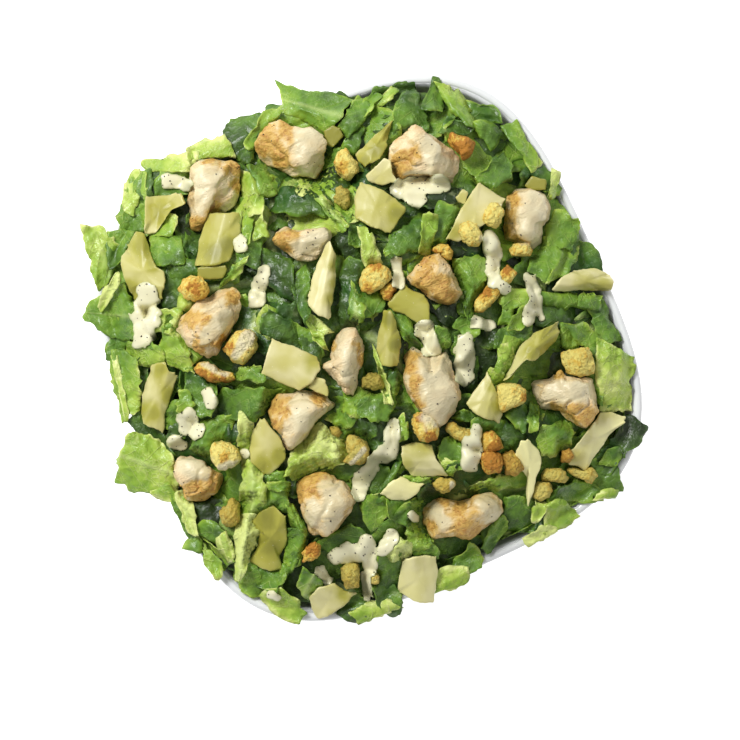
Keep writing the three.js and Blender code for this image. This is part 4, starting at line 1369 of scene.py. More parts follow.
# A row holds the outline, then the shade, the patches and how olive it is
CHICKEN = morsels_from(
    ((254, 143, 259, 132, 269, 122, 279, 118, 291, 124, 301, 127, 311, 126, 320, 130, 325, 139, 327, 148, 324,
     158, 323, 170, 316, 180, 305, 177, 292, 177, 283, 171, 268, 166, 259, 158), 0.1, ((270, 142, 18), (286,
     132, 12), (282, 160, 12), (318, 170, 6))),
    ((190, 166, 199, 160, 212, 158, 226, 161, 232, 159, 241, 167, 241, 186, 235, 206, 226, 213, 210, 216, 200,
     232, 190, 230, 189, 212, 186, 200, 190, 190, 188, 178), 0.1, ((212, 164, 9), (232, 168, 9), (236, 186,
     7), (212, 208, 10), (196, 224, 10), (194, 200, 7))),
    ((272, 238, 275, 232, 285, 228, 297, 230, 310, 228, 325, 229, 332, 230, 333, 237, 328, 245, 325, 253, 316,
     259, 308, 261, 298, 261, 290, 256, 281, 251, 275, 246), 0.1, ((280, 240, 9), (292, 236, 7), (286, 248,
     8))),
    ((388, 147, 396, 139, 405, 131, 415, 123, 422, 127, 426, 132, 434, 136, 446, 145, 456, 150, 460, 160, 459,
     172, 452, 183, 440, 182, 425, 178, 410, 178, 397, 182, 390, 174, 388, 160), 0.12, ((402, 163, 13), (416,
     154, 8), (398, 174, 8), (440, 172, 8))),
    ((506, 208, 508, 197, 515, 190, 530, 187, 540, 191, 547, 196, 551, 208, 549, 220, 543, 229, 541, 243, 532,
     250, 521, 245, 507, 240, 502, 228), 0.1, ((508, 216, 9), (514, 200, 8), (505, 230, 7), (518, 242, 7))),
    ((406, 277, 412, 271, 420, 263, 424, 257, 432, 254, 440, 252, 447, 262, 452, 270, 458, 281, 464, 295, 455,
     303, 450, 306, 438, 304, 430, 300, 424, 293, 416, 288, 409, 284), 0.30, ((426, 282, 12), (446, 298, 10),
     (428, 262, 8), (440, 284, 9))),
    ((176, 330, 181, 317, 190, 310, 197, 301, 210, 296, 220, 290, 232, 288, 240, 292, 241, 310, 238, 320, 230,
     335, 222, 345, 217, 356, 208, 359, 196, 353, 185, 343), 0.15, ((193, 319, 9), (206, 322, 7), (216, 340,
     9), (232, 298, 8), (200, 345, 8))),
    ((333, 342, 336, 336, 344, 328, 356, 327, 362, 340, 366, 350, 364, 362, 360, 372, 360, 385, 353, 398, 346,
     396, 340, 388, 332, 378, 321, 369, 322, 364, 330, 360, 330, 350), 0.0, ((356, 348, 6), (332, 346, 5),
     (364, 360, 6))),
    ((268, 412, 272, 400, 279, 395, 290, 394, 300, 390, 312, 391, 326, 395, 336, 404, 328, 412, 318, 420, 310,
     432, 300, 444, 292, 451, 287, 450, 281, 437, 272, 428), 0.1, ((279, 408, 13), (277, 424, 8), (318, 398,
     8))),
    # chicken_10's patches along its left side paint the shade there as browning
    ((404, 356, 412, 346, 422, 352, 430, 358, 446, 350, 452, 366, 460, 380, 462, 400, 456, 414, 440, 430, 430,
     420, 418, 412, 410, 400, 403, 378), 0.12, ((410, 360, 8), (412, 370, 7), (415, 381, 7), (417, 392, 7),
     (420, 403, 6))),
    ((531, 383, 538, 380, 548, 378, 556, 372, 562, 370, 566, 376, 580, 378, 592, 380, 595, 395, 599, 411, 594,
     420, 587, 429, 578, 426, 568, 420, 560, 412, 548, 408, 540, 409, 535, 402, 532, 392), 0.05, ((575, 412,
     12), (590, 416, 11), (558, 408, 8), (560, 374, 6))),
    ((171, 471, 176, 458, 180, 455, 190, 455, 205, 462, 213, 469, 223, 474, 222, 484, 218, 492, 208, 500, 196,
     502, 184, 499, 180, 490, 175, 480), 0.05, ((212, 482, 13), (198, 495, 14), (186, 492, 9), (204, 488,
     10))),
    # The last two chunks' shade is raised partly as painted shade, where they lie in shade
    ((296, 492, 298, 482, 306, 476, 320, 472, 334, 474, 346, 484, 357, 500, 352, 512, 343, 522, 333, 534, 322,
     538, 309, 534, 303, 518, 300, 505), 0.42, ((308, 486, 12), (322, 480, 9), (300, 496, 6))),
    ((423, 508, 430, 502, 440, 497, 448, 499, 458, 502, 470, 498, 478, 493, 487, 491, 497, 495, 504, 503, 503,
     512, 497, 520, 487, 528, 477, 534, 470, 541, 462, 541, 455, 538, 440, 540, 432, 538, 427, 530, 423, 520),
     0.54, ((432, 524, 6), (466, 530, 11), (442, 502, 6), (460, 508, 6))),
)
CROUTONS = morsels_from(
    ((178, 289, 183, 280, 190, 276, 200, 277, 208, 284, 210, 292, 204, 299, 195, 302, 184, 299), 0.38, ((194,
     288, 8),)),
    ((334, 162, 338, 152, 346, 148, 352, 156, 357, 162, 360, 172, 354, 178, 349, 182, 343, 180, 337, 172),
     0.05, ((342, 168, 6),)),
    ((446, 141, 449, 134, 453, 131, 458, 136, 468, 136, 475, 143, 475, 150, 470, 157, 463, 161, 459, 155, 453,
     149), 0.80, ((466, 150, 8),)),
    ((483, 214, 490, 204, 498, 203, 504, 212, 502, 222, 496, 229, 487, 226, 482, 220), 0.10),
    ((459, 232, 461, 225, 468, 222, 477, 224, 482, 232, 484, 240, 478, 246, 470, 247, 462, 242), 0.06),
    ((360, 282, 362, 274, 370, 265, 380, 264, 389, 269, 391, 278, 386, 287, 378, 291, 370, 295, 362, 291),
     0.18, ((376, 266, 7), (368, 288, 5))),
    ((474, 304, 483, 291, 493, 279, 507, 265, 518, 273, 505, 288, 493, 303, 482, 314, 475, 313), 0.30, ((486,
     293, 8), (508, 270, 6))),
    ((561, 352, 575, 349, 589, 347, 594, 362, 595, 374, 580, 377, 567, 374, 562, 364), 0.12, (), 0.25),
    ((495, 386, 502, 383, 520, 384, 527, 390, 526, 402, 516, 408, 508, 410, 502, 414, 499, 405, 496, 397),
     0.12, ((524, 398, 4),)),
    ((414, 415, 420, 411, 428, 411, 434, 420, 439, 430, 437, 440, 428, 444, 420, 442, 415, 433, 412, 424),
     0.36, ((420, 418, 5), (430, 438, 5))),
    ((444, 430, 446, 424, 453, 422, 462, 428, 474, 432, 480, 436, 479, 444, 462, 443, 452, 438), 0.30, (),
     0.5),
    ((480, 440, 484, 434, 493, 432, 500, 438, 504, 448, 498, 452, 484, 452, 480, 446), 0.60, ((494, 448,
     6),)),
    ((481, 460, 483, 454, 492, 451, 502, 454, 504, 465, 500, 474, 488, 475, 482, 468), 0.75, ((492, 462,
     8),)),
    ((503, 455, 512, 451, 518, 457, 524, 470, 515, 477, 505, 474), 0.95, ((504, 464, 6),), 0.5),
    ((345, 442, 350, 436, 358, 437, 366, 443, 370, 450, 370, 458, 362, 464, 350, 467, 342, 462, 350, 455),
     0.35, (), 0.6),
    ((209, 450, 214, 443, 223, 441, 232, 444, 240, 452, 241, 460, 235, 467, 226, 471, 218, 470, 212, 463),
     0.10, ((224, 458, 5),)),
    ((219, 512, 226, 508, 228, 499, 234, 498, 239, 504, 239, 522, 230, 528, 221, 524), 0.50, (), 0.7),
    ((432, 484, 438, 478, 450, 478, 456, 483, 450, 492, 442, 495, 435, 491), 0.30, (), 0.6),
    ((541, 475, 545, 469, 562, 468, 569, 478, 565, 484, 552, 482, 543, 480), 0.25, (), 0.7),
    ((341, 568, 350, 563, 358, 564, 360, 575, 359, 588, 346, 590, 342, 580), 0.35, ((346, 583, 4),), 0.8),
    ((193, 369, 199, 363, 207, 362, 214, 366, 220, 371, 232, 373, 235, 380, 225, 383, 212, 382, 200, 378, 195,
     374), 0.25, ((197, 376, 10), (211, 381, 11), (225, 384, 9))),
    ((221, 349, 229, 340, 237, 331, 250, 330, 258, 337, 257, 350, 250, 359, 243, 366, 232, 361), 0.20, ((230,
     348, 6),)),
)
# A shaving's shade paints shade on it, olive and darker where it lies in shade, and below 0 paints light on a
# dim one
CHEESE = morsels_from(
    ((145, 197, 183, 192, 187, 204, 172, 210, 164, 222, 156, 234, 144, 236), 0.50, ((161, 214, 13),)),
    ((208, 213, 240, 212, 242, 232, 236, 246, 231, 262, 215, 266, 194, 268, 197, 250, 203, 228), 0.80, ((214,
     254, 11), (226, 246, 9))),
    ((136, 231, 144, 233, 148, 245, 157, 267, 165, 272, 166, 288, 163, 299, 153, 305, 138, 304, 131, 296, 124,
     278, 120, 260, 127, 243), 0.55, ((144, 244, 12), (152, 258, 10), (130, 290, 9))),
    ((330, 240, 336, 256, 336, 280, 333, 305, 329, 322, 318, 317, 309, 306, 307, 297, 314, 272, 321, 251),
     0.0, ((333, 266, 6), (334, 284, 6), (331, 300, 6))),
    ((272, 338, 295, 347, 318, 357, 321, 370, 313, 383, 300, 392, 286, 386, 261, 375, 266, 356), 0.1, ((312,
     362, 9),)),
    ((359, 182, 370, 184, 383, 190, 395, 198, 407, 208, 399, 222, 391, 235, 372, 228, 355, 219, 354, 200),
     0.62, ((398, 214, 8),)),
    ((355, 155, 370, 140, 394, 118, 390, 131, 387, 148, 380, 160, 365, 168, 358, 162), 0.60, ((378, 150, 10),
     (364, 162, 7), (386, 130, 7))),
    ((478, 182, 506, 199, 500, 215, 480, 228, 458, 243, 443, 240, 452, 226, 460, 212), 0.1, ((453, 234, 9),)),
    ((551, 290, 560, 278, 574, 270, 594, 268, 608, 272, 614, 282, 612, 290, 598, 292, 580, 290, 562, 293),
     0.0, ((590, 284, 12), (600, 284, 9))),
    ((558, 321, 562, 331, 556, 342, 545, 352, 535, 362, 526, 361, 518, 368, 506, 383, 502, 380, 512, 362, 519,
     347, 533, 334), 0.50, ((548, 342, 11), (534, 352, 10))),
    ((465, 404, 475, 390, 487, 372, 492, 380, 500, 400, 503, 415, 500, 424, 485, 420, 472, 412), 0.25, ((492,
     388, 6), (497, 408, 6))),
    ((384, 311, 391, 310, 396, 322, 401, 338, 400, 365, 392, 368, 381, 366, 376, 352, 378, 332), 0.85, ((389,
     320, 7), (396, 345, 6))),
    ((404, 284, 412, 290, 425, 295, 429, 305, 430, 325, 418, 325, 405, 315, 392, 312, 387, 305, 398, 292),
     0.98),
    ((600, 412, 612, 411, 625, 416, 629, 421, 618, 427, 608, 437, 600, 450, 592, 462, 586, 472, 578, 467, 568,
     465, 569, 452, 580, 440, 590, 428), -0.70, ((604, 417, 9), (588, 438, 8), (575, 456, 8))),
    ((515, 454, 521, 440, 530, 440, 539, 450, 542, 464, 537, 478, 534, 495, 528, 507, 526, 495, 527, 480, 521,
     468), -0.95),
    ((402, 445, 415, 442, 432, 445, 437, 460, 449, 476, 430, 478, 412, 477, 403, 465, 400, 455), -0.15, ((418,
     451, 17), (408, 462, 8))),
    ((378, 494, 388, 485, 401, 477, 411, 482, 425, 484, 418, 494, 406, 501, 390, 500), -0.55),
    ((402, 560, 414, 557, 424, 555, 437, 556, 438, 570, 436, 590, 433, 603, 420, 604, 408, 598, 397, 590, 400,
     575), -0.40, ((418, 562, 7),)),
    ((308, 598, 318, 588, 335, 583, 345, 590, 357, 593, 350, 602, 335, 612, 327, 618, 318, 620, 312, 608),
     0.25, ((342, 594, 8),)),
    ((152, 365, 158, 362, 165, 362, 169, 371, 180, 374, 174, 390, 170, 402, 166, 412, 166, 430, 163, 434, 152,
     429, 143, 424, 141, 410, 142, 395, 147, 378), 0.45, ((160, 370, 8), (150, 412, 10), (168, 396, 7))),
    ((252, 430, 258, 420, 264, 416, 270, 425, 280, 437, 286, 450, 286, 460, 279, 468, 270, 476, 262, 474, 250,
     462, 249, 448), 0.35, ((278, 457, 8), (262, 465, 9))),
    ((249, 522, 262, 510, 274, 505, 286, 516, 288, 540, 280, 557, 283, 570, 270, 572, 248, 562, 258, 545, 260,
     530), 0.8, ((264, 518, 12), (270, 546, 11))),
)


# How closely an outline is followed: places along each traced edge, and directions round the middle
EDGE_STEPS = 24
DIRECTIONS = 60


def pixel_of(points: Array) -> tuple[Array, Array]:
    """The pixels of the photograph at which points in space show."""
    scale = pixel_size(points[:, 2])
    cos, sin = math.cos(BOWL_TURN), math.sin(BOWL_TURN)
    right = points[:, 0] * cos - points[:, 1] * sin
    up = points[:, 0] * sin + points[:, 1] * cos
    return BOWL_MIDDLE[0] + right / scale, BOWL_MIDDLE[1] - up / scale


def refined(node: str, name: str, voxel: float, rounds: int, whole: bool = False) -> Piece:
    """A closed, evenly meshed copy of a solid.

    Args:
        node: the solid's name.
        name: the copy's name.
        voxel: the size of its faces.
        rounds: how often it is smoothed.
        whole: whether it is filled out first.

    Returns:
        The copy.
    """
    piece = placed(name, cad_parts[node].data.copy())
    piece.data.name = name
    only(piece)
    bpy.ops.object.mode_set(mode="EDIT")
    bpy.ops.mesh.select_all(action="SELECT")
    bpy.ops.mesh.remove_doubles(threshold=0.01 * MM)
    bpy.ops.object.mode_set(mode="OBJECT")
    if whole:
        fill_out(piece)
    modify(piece, "REMESH", mode="VOXEL", voxel_size=voxel)
    smooth(piece, rounds)
    return piece


def swell(piece: Piece, amount: Array) -> None:
    """Moves each point of a piece outwards by its own amount."""
    move_points(piece, points_of(piece) + normals_of(piece) * amount[:, None])


def fill_out(piece: Piece) -> None:
    """Fills a piece out to its convex shape, where a neighbour had been cut away from it."""
    edit = bmesh.new()
    for point in points_of(piece):
        edit.verts.new(point)
    made = bmesh.ops.convex_hull(edit, input=edit.verts)
    left = (*made["geom_interior"], *made["geom_unused"])
    loose = {item for item in left if isinstance(item, bmesh.types.BMVert)}
    bmesh.ops.delete(edit, geom=list(loose), context="VERTS")
    edit.to_mesh(piece.data)
    edit.free()


def hew(piece: Piece, seed: int, cuts: int = 11, depths: Span = (0.66, 0.86)) -> None:
    """Presses flat faces into the upper side of a piece, as torn meat has.

    Args:
        piece: the piece.
        seed: makes the faces its own.
        cuts: how many faces there are.
        depths: how far out they lie, as the least and greatest share of the piece's reach.
    """
    draw = np.random.default_rng(seed + 7)
    points = points_of(piece)
    middle = (points.min(0) + points.max(0)) / 2
    away = points - middle
    for _ in range(cuts):
        way = draw.normal(0, 1, 3) * np.array([1, 1, 0.9])
        way[2] = abs(way[2])
        way /= np.linalg.norm(way)
        reach = away @ way
        away -= np.maximum(0, reach - reach.max() * draw.uniform(*depths))[:, None] * way * 0.9
    move_points(piece, middle + away)


def fit_outline(piece: Piece, outline: tuple[Pixel, ...]) -> Array:
    """Draws a piece's outline, as the camera sees it, onto a traced one.

    Args:
        piece: the piece, whose points keep their heights.
        outline: the traced outline, in pixels.

    Returns:
        How far out each point is, from 0 in the middle to 1 on the outline.
    """
    points = points_of(piece)
    at = np.stack(pixel_of(points), axis=1)
    own_middle = (at.min(0) + at.max(0)) / 2
    corners = np.array(outline, float)
    after = np.roll(corners, -1, 0)
    area = corners[:, 0] * after[:, 1] - after[:, 0] * corners[:, 1]
    middle = ((corners + after) * area[:, None]).sum(0) / (3 * area.sum())
    steps = np.linspace(0, 1, EDGE_STEPS, endpoint=False)[None, :, None]
    border = (corners[:, None] * (1 - steps) + after[:, None] * steps).reshape(-1, 2) - middle
    away = at - own_middle
    angle, radius = np.arctan2(away[:, 1], away[:, 0]), np.hypot(away[:, 0], away[:, 1])
    border_angle, border_radius = np.arctan2(border[:, 1], border[:, 0]), np.hypot(border[:, 0], border[:, 1])
    wanted = np.interp(angle, border_angle, border_radius, period=math.tau)
    own = np.zeros(DIRECTIONS)
    sector = ((angle + math.pi) / math.tau * DIRECTIONS).astype(int)
    np.maximum.at(own, np.clip(sector, 0, DIRECTIONS - 1), radius)
    own_angles = (np.arange(DIRECTIONS) + 0.5) * math.tau / DIRECTIONS - math.pi
    reach = np.interp(angle, own_angles, own, period=math.tau)
    moved = middle + away * (wanted / reach)[:, None]
    points[:, 0], points[:, 1] = place_of(moved[:, 0], moved[:, 1], points[:, 2])
    move_points(piece, points)
    smooth(piece, 2)
    return radius / reach


def patchiness(piece: Piece, morsel: Morsel, seed: float, blur: float = 0.5) -> Array:
    """How much each point lies in a morsel's patches, from 0 to 1.

    Args:
        piece: the piece.
        morsel: its patches.
        seed: makes their edges its own.
        blur: how wide their edges are, as a share of their radius.

    Returns:
        The amount at each point.
    """
    points = points_of(piece)
    px, py = pixel_of(points)
    amount = np.zeros(len(points))
    for x, y, radius in morsel.patches:
        away = np.hypot(px - x, py - y) / radius + 0.4 * rough(points, 4 * MM, 3, seed)
        amount = np.maximum(amount, smoothstep(1 + blur, 1 - blur, away))
    return amount


def crest(piece: Piece) -> Array:
    """How far each point stands out from its neighbours, as a share of the distance to them."""
    points, normals = points_of(piece), normals_of(piece)
    ends = np.empty(len(piece.data.edges) * 2, np.int64)
    piece.data.edges.foreach_get("vertices", ends)
    a, b = ends.reshape(-1, 2).T
    total, count, span = np.zeros_like(points), np.zeros(len(points)), np.zeros(len(points))
    gap = np.linalg.norm(points[a] - points[b], axis=1)
    for here, there in ((a, b), (b, a)):
        np.add.at(total, here, points[there])
        np.add.at(count, here, 1)
        np.add.at(span, here, gap)
    away = points - total / np.maximum(count, 1)[:, None]
    return (away * normals).sum(1) / (span / np.maximum(count, 1) + 1e-9)


# Strokes of dressing: the pixels of each one's two ends, and its half width in pixels
STROKES: tuple[Stroke, ...] = (
    (146, 293, 147, 302, 9), (147, 302, 145, 316, 12), (145, 316, 144, 330, 10), (144, 330, 144, 337, 11),
    (241, 243, 242, 246, 6), (168, 180, 184, 186, 7), (264, 272, 258, 300, 8),
    (400, 188, 440, 184, 9), (404, 194, 418, 200, 7), (396, 263, 398, 284, 6), (490, 240, 493, 258, 7),
    (493, 262, 495, 282, 7), (425, 328, 430, 350, 8), (478, 323, 489, 325, 7), (466, 344, 462, 378, 10),
    (530, 280, 534, 300, 7), (532, 302, 528, 320, 5), (535, 302, 541, 318, 4),
    (184, 420, 196, 430, 8), (190, 414, 194, 420, 7), (208, 394, 212, 403, 6), (174, 442, 182, 444, 5),
    (245, 453, 246, 455, 4), (393, 426, 392, 448, 7), (390, 450, 372, 462, 8), (372, 464, 362, 478, 9),
    (362, 480, 358, 494, 7), (477, 430, 474, 442, 6), (473, 442, 471, 462, 8), (319, 571, 328, 580, 6),
    (342, 556, 370, 552, 10), (366, 540, 370, 566, 8), (382, 550, 392, 536, 7), (364, 574, 368, 596, 5),
    (411, 515, 413, 518, 5), (500, 284, 504, 290, 5), (272, 594, 278, 597, 4),
)
# Thin films of it on the chicken and bread
FILMS: tuple[Stroke, ...] = (
    (308, 138, 308, 168, 15), (208, 178, 204, 198, 14), (300, 246, 324, 238, 10), (430, 150, 438, 172, 12),
    (412, 176, 440, 180, 8), (536, 204, 534, 232, 13), (206, 340, 224, 318, 8), (350, 352, 352, 378, 8),
    (300, 402, 302, 424, 12), (438, 366, 440, 408, 17), (556, 392, 584, 390, 10), (184, 466, 204, 470, 11),
    (332, 494, 336, 522, 14), (484, 504, 492, 514, 10), (436, 512, 446, 524, 9), (314, 506, 312, 520, 7),
    (250, 335, 236, 356, 6), (218, 470, 240, 464, 4), (486, 240, 494, 250, 6),
    (364, 450, 352, 464, 4), (452, 484, 452, 490, 3), (206, 365, 226, 374, 5),
)


# How far a stroke's edge wanders, as a share of its half width
WANDER = Relief(0.48, 6.5 * MM)
FINE_WANDER = Relief(0.26, 2.4 * MM)


def stroke_depth(strokes: Sequence[Stroke], px: Array, py: Array) -> Array:
    """How deep inside strokes each pixel is, from 1 in their middle to below 0 outside."""
    best = np.full(px.shape, -3.0)
    for x0, y0, x1, y1, radius in strokes:
        way = np.array([x1 - x0, y1 - y0])
        along = np.clip(((px - x0) * way[0] + (py - y0) * way[1]) / max(way @ way, 1e-6), 0, 1)
        away = np.hypot(px - x0 - along * way[0], py - y0 - along * way[1])
        best = np.maximum(best, 1 - away / radius)
    space = in_space(np.column_stack([px.ravel(), py.ravel()]))
    wander = WANDER.on(space, 5.5) + FINE_WANDER.on(space, 8.5)
    return best + wander.reshape(px.shape) * np.clip(1.15 - best, 0.2, 1)


def film_on(piece: Piece) -> Array:
    """How much each upper point of a piece is covered by a film of dressing, from 0 to 1."""
    depth = stroke_depth(FILMS, *pixel_of(points_of(piece)))
    return smoothstep(-0.25, 0.35, depth) * smoothstep(0.0, 0.5, normals_of(piece)[:, 2])


@dataclass
class Toppings:
    """The chicken, croutons and shavings of cheese, on the places and in the shapes of their solids."""

    chicken: Material
    bread: Material
    cheese: Material
    chunk_cell: float = 0.75 * MM
    crumb_cell: float = 0.55 * MM
    shaving_cell: float = 0.5 * MM
    bulges: Relief = Relief(1.1 * MM, 9 * MM)
    tears: Relief = Relief(0.6 * MM, 5 * MM)
    fibres: Relief = Relief(0.45 * MM, 2.2 * MM)
    cleft_depth: float = 1.5 * MM
    cleft_size: float = 9 * MM
    film_depth: float = 0.5 * MM
    pieces: list = field(default_factory=list)

    def build(self) -> list[Piece]:
        """Makes every topping."""
        for kind, group, make, material in (("chicken", CHICKEN, self._chicken, self.chicken),
                                            ("crouton", CROUTONS, self._crouton, self.bread),
                                            ("cheese", CHEESE, self._cheese, self.cheese)):
            for number, morsel in enumerate(group):
                self.pieces.append(make(f"{kind}_{number + 1:02d}", morsel, number, material))
        return self.pieces

    def _chicken(self, node: str, morsel: Morsel, number: int,
                material: Material) -> Piece:
        """A chunk of breast meat with clefts, torn fibres, browned patches and a film of dressing."""
        piece = refined(node, node + "_meat", self.chunk_cell, 4)
        hew(piece, number)
        out = fit_outline(piece, morsel.outline)
        points = points_of(piece)
        low, high = points[:, 2].min(), points[:, 2].max()
        points[:, 2] -= 0.30 * (points[:, 2] - low) * np.clip(out, 0, 1) ** 3
        move_points(piece, points)
        up = (points[:, 2] - low) / (high - low)
        grain = points * np.array([0.55, 1.0, 0.8])
        bulge = self.bulges.on(points, number + 10) * up
        ridge = np.abs(rough(grain, self.cleft_size, 2, number + 30))
        cleft = -self.cleft_depth * smoothstep(0.16, 0.0, ridge) * up
        torn = self.tears.on(points, number) + self.fibres.on(grain, number + 20)
        film = film_on(piece)
        swell(piece, bulge + (cleft + torn) * (1 - 0.55 * film) + self.film_depth * film)
        side = smoothstep(0.5, 0.0, np.abs(normals_of(piece)[:, 2]))
        patches = patchiness(piece, morsel, number + 40)
        # roast holds browning, and on a few chunks painted shade from their shade and patches
        write_mark(piece, "roast", morsel.shade + 0.25 * side + 0.9 * patches + 0.9 * crest(piece))
        write_mark(piece, "cream", film)
        return dress(piece, material, Slot.CHICKEN, [node])

    def _crouton(self, node: str, morsel: Morsel, number: int,
                material: Material) -> Piece:
        """A crumb of toasted bread, pitted and crisp at its edges."""
        piece = refined(node, node + "_bread", self.crumb_cell, 4, whole=True)
        crumble(piece, morsel, number)
        return dress(piece, material, Slot.BREAD, [node])

    def _cheese(self, node: str, morsel: Morsel, number: int,
               material: Material) -> Piece:
        """A thin shaving of hard cheese with slightly broken edges."""
        piece = refined(node, node + "_shaving", self.shaving_cell, 2)
        shave(piece, morsel, number)
        return dress(piece, material, Slot.CHEESE, [node])


CRUMB_LUMPS = Relief(0.65 * MM, 4.5 * MM)
CRUMB_PITS = Relief(0.5 * MM, 1.7 * MM)
CHIPS = Relief(0.35 * MM, 3 * MM)
BENDS = Relief(0.15 * MM, 8 * MM, 1)


def crumble(piece: Piece, morsel: Morsel, number: int) -> None:
    """Shapes and marks a piece as a crumb of toasted bread."""
    out = fit_outline(piece, morsel.outline)
    points = points_of(piece)
    points[:, 2] -= 0.25 * (points[:, 2] - points[:, 2].min()) * np.clip(out, 0, 1) ** 4
    move_points(piece, points)
    swell(piece, CRUMB_LUMPS.on(points, number + 60) + CRUMB_PITS.on(points, number + 80))
    patches = patchiness(piece, morsel, number + 95)
    uneven = 0.2 * rough(points, 6 * MM, 2, number + 90)
    write_mark(piece, "toast", morsel.shade + 1.8 * crest(piece) + 0.7 * patches + uneven)
    # olive is partly herb colour and partly painted shade
    write_mark(piece, "olive", np.full(len(points), morsel.olive))
    write_mark(piece, "cream", film_on(piece))


def shave(piece: Piece, morsel: Morsel, number: int) -> None:
    """Shapes and marks a piece as a shaving of cheese."""
    fit_outline(piece, morsel.outline)
    points = points_of(piece)
    edge = smoothstep(0.75, 0.35, np.abs(normals_of(piece)[:, 2]))
    swell(piece, CHIPS.on(points, number + 110) * edge + BENDS.on(points, number + 130))
    patches = patchiness(piece, morsel, number + 150, 0.85)
    # The shade mark paints shade and light onto the shaving
    write_mark(piece, "shade", morsel.shade + 0.9 * patches - 0.2 * edge)


BREAD_BITS = morsels_from(
    ((333, 198, 336, 188, 341, 186, 349, 191, 350, 205, 346, 210, 335, 203), 0.40, (), 0.9),
    ((381, 292, 386, 285, 393, 282, 398, 288, 390, 302, 384, 300), 0.30, ((390, 294, 6),)),
    ((482, 236, 490, 233, 497, 240, 498, 248, 492, 253, 484, 250), 0.05),
    ((509, 250, 514, 243, 530, 244, 532, 252, 530, 257, 512, 256), 0.30),
    ((432, 250, 440, 243, 449, 245, 454, 252, 452, 261, 446, 262, 440, 254), 0.45),
    ((330, 428, 338, 428, 342, 433, 338, 438, 333, 436), 0.5, (), 0.8),
    ((361, 378, 368, 373, 380, 376, 384, 388, 374, 392, 362, 388), 0.8, ((366, 384, 7),), 1.0),
    ((566, 470, 572, 466, 585, 471, 592, 467, 598, 476, 592, 485, 584, 480, 572, 476), 0.2, (), 0.5),
    ((533, 488, 538, 482, 550, 481, 552, 490, 549, 498, 540, 502, 533, 497), 0.10, (), 0.6),
    ((301, 553, 308, 545, 316, 541, 321, 546, 320, 556, 312, 562, 303, 562), 0.50, ((311, 550, 7),)),
    ((369, 575, 375, 571, 380, 577, 378, 584, 371, 584), 0.05, (), 0.2),
    ((562, 452, 570, 448, 574, 456, 570, 463, 562, 462), 1.0, (), 0.3),
)
# Flakes with a shade above 1 are darkened as painted shade
CHEESE_BITS = morsels_from(
    ((197, 268, 226, 265, 228, 270, 223, 279, 198, 280), 1.45),
    ((384, 158, 391, 160, 393, 174, 399, 182, 382, 186, 368, 182, 366, 176), 0.0),
    ((324, 131, 333, 125, 340, 129, 344, 136, 333, 148, 326, 145), 1.6),
    ((524, 186, 532, 176, 546, 180, 546, 190, 530, 190), 1.5),
    ((308, 388, 316, 377, 325, 380, 329, 392, 328, 398, 315, 392), 0.45),
    ((455, 198, 463, 190, 468, 193, 466, 206, 458, 203), 0.3),
)


@dataclass
class Bits:
    """The broken bits too small to be solids of their own, joined to one piece a kind."""

    lift: float = 2.5 * MM
    crumb_height: float = 6.5 * MM
    flake_height: float = 1.6 * MM
    tilt: Span = (0.12, -0.1)
    cell: float = 0.5 * MM

    def build(self, bread: Material, cheese: Material) -> list[Piece]:
        """Makes both kinds.

        Args:
            bread: the croutons' material.
            cheese: the shavings' material.

        Returns:
            The two pieces.
        """
        crumbs = self._joined("bread_bits", BREAD_BITS, self.crumb_height, crumble, 100)
        flakes = self._joined("cheese_bits", CHEESE_BITS, self.flake_height, shave, 130)
        return [dress(crumbs, bread, Slot.BREAD), dress(flakes, cheese, Slot.CHEESE)]

    def _bit(self, bit: Morsel, height: float, shape: Callable, number: int) -> Piece:
        """One bit, from a cube that is meshed finely and then shaped."""
        corners = np.array(bit.outline, float)
        low, high = corners.min(0), corners.max(0)
        middle = (low + high)[:, None] / 2
        x, y, z = (float(c[0]) for c in place_on_heap(middle[0], middle[1], self.lift))
        bpy.ops.object.select_all(action="DESELECT")
        bpy.ops.mesh.primitive_cube_add(size=1, location=(x, y, z), rotation=(*self.tilt, -BOWL_TURN),
                                        scale=(*(high - low) * PIXEL, height))
        piece = bpy.context.object
        bpy.ops.object.transform_apply(location=True, rotation=True, scale=True)
        modify(piece, "REMESH", mode="VOXEL", voxel_size=self.cell)
        smooth(piece, 4)
        shape(piece, bit, number)
        return piece

    def _joined(self, name: str, bits: Sequence[Morsel], height: float, shape: Callable, first: int) -> Piece:
        """The bits of a kind as one piece. Their seeds count up from the first."""
        made = [self._bit(bit, height, shape, number) for number, bit in enumerate(bits, first)]
        only(made[0])
        for bit in made:
            bit.select_set(True)
        bpy.ops.object.join()
        piece = bpy.context.object
        piece.name = piece.data.name = name
        return piece


# Dressing

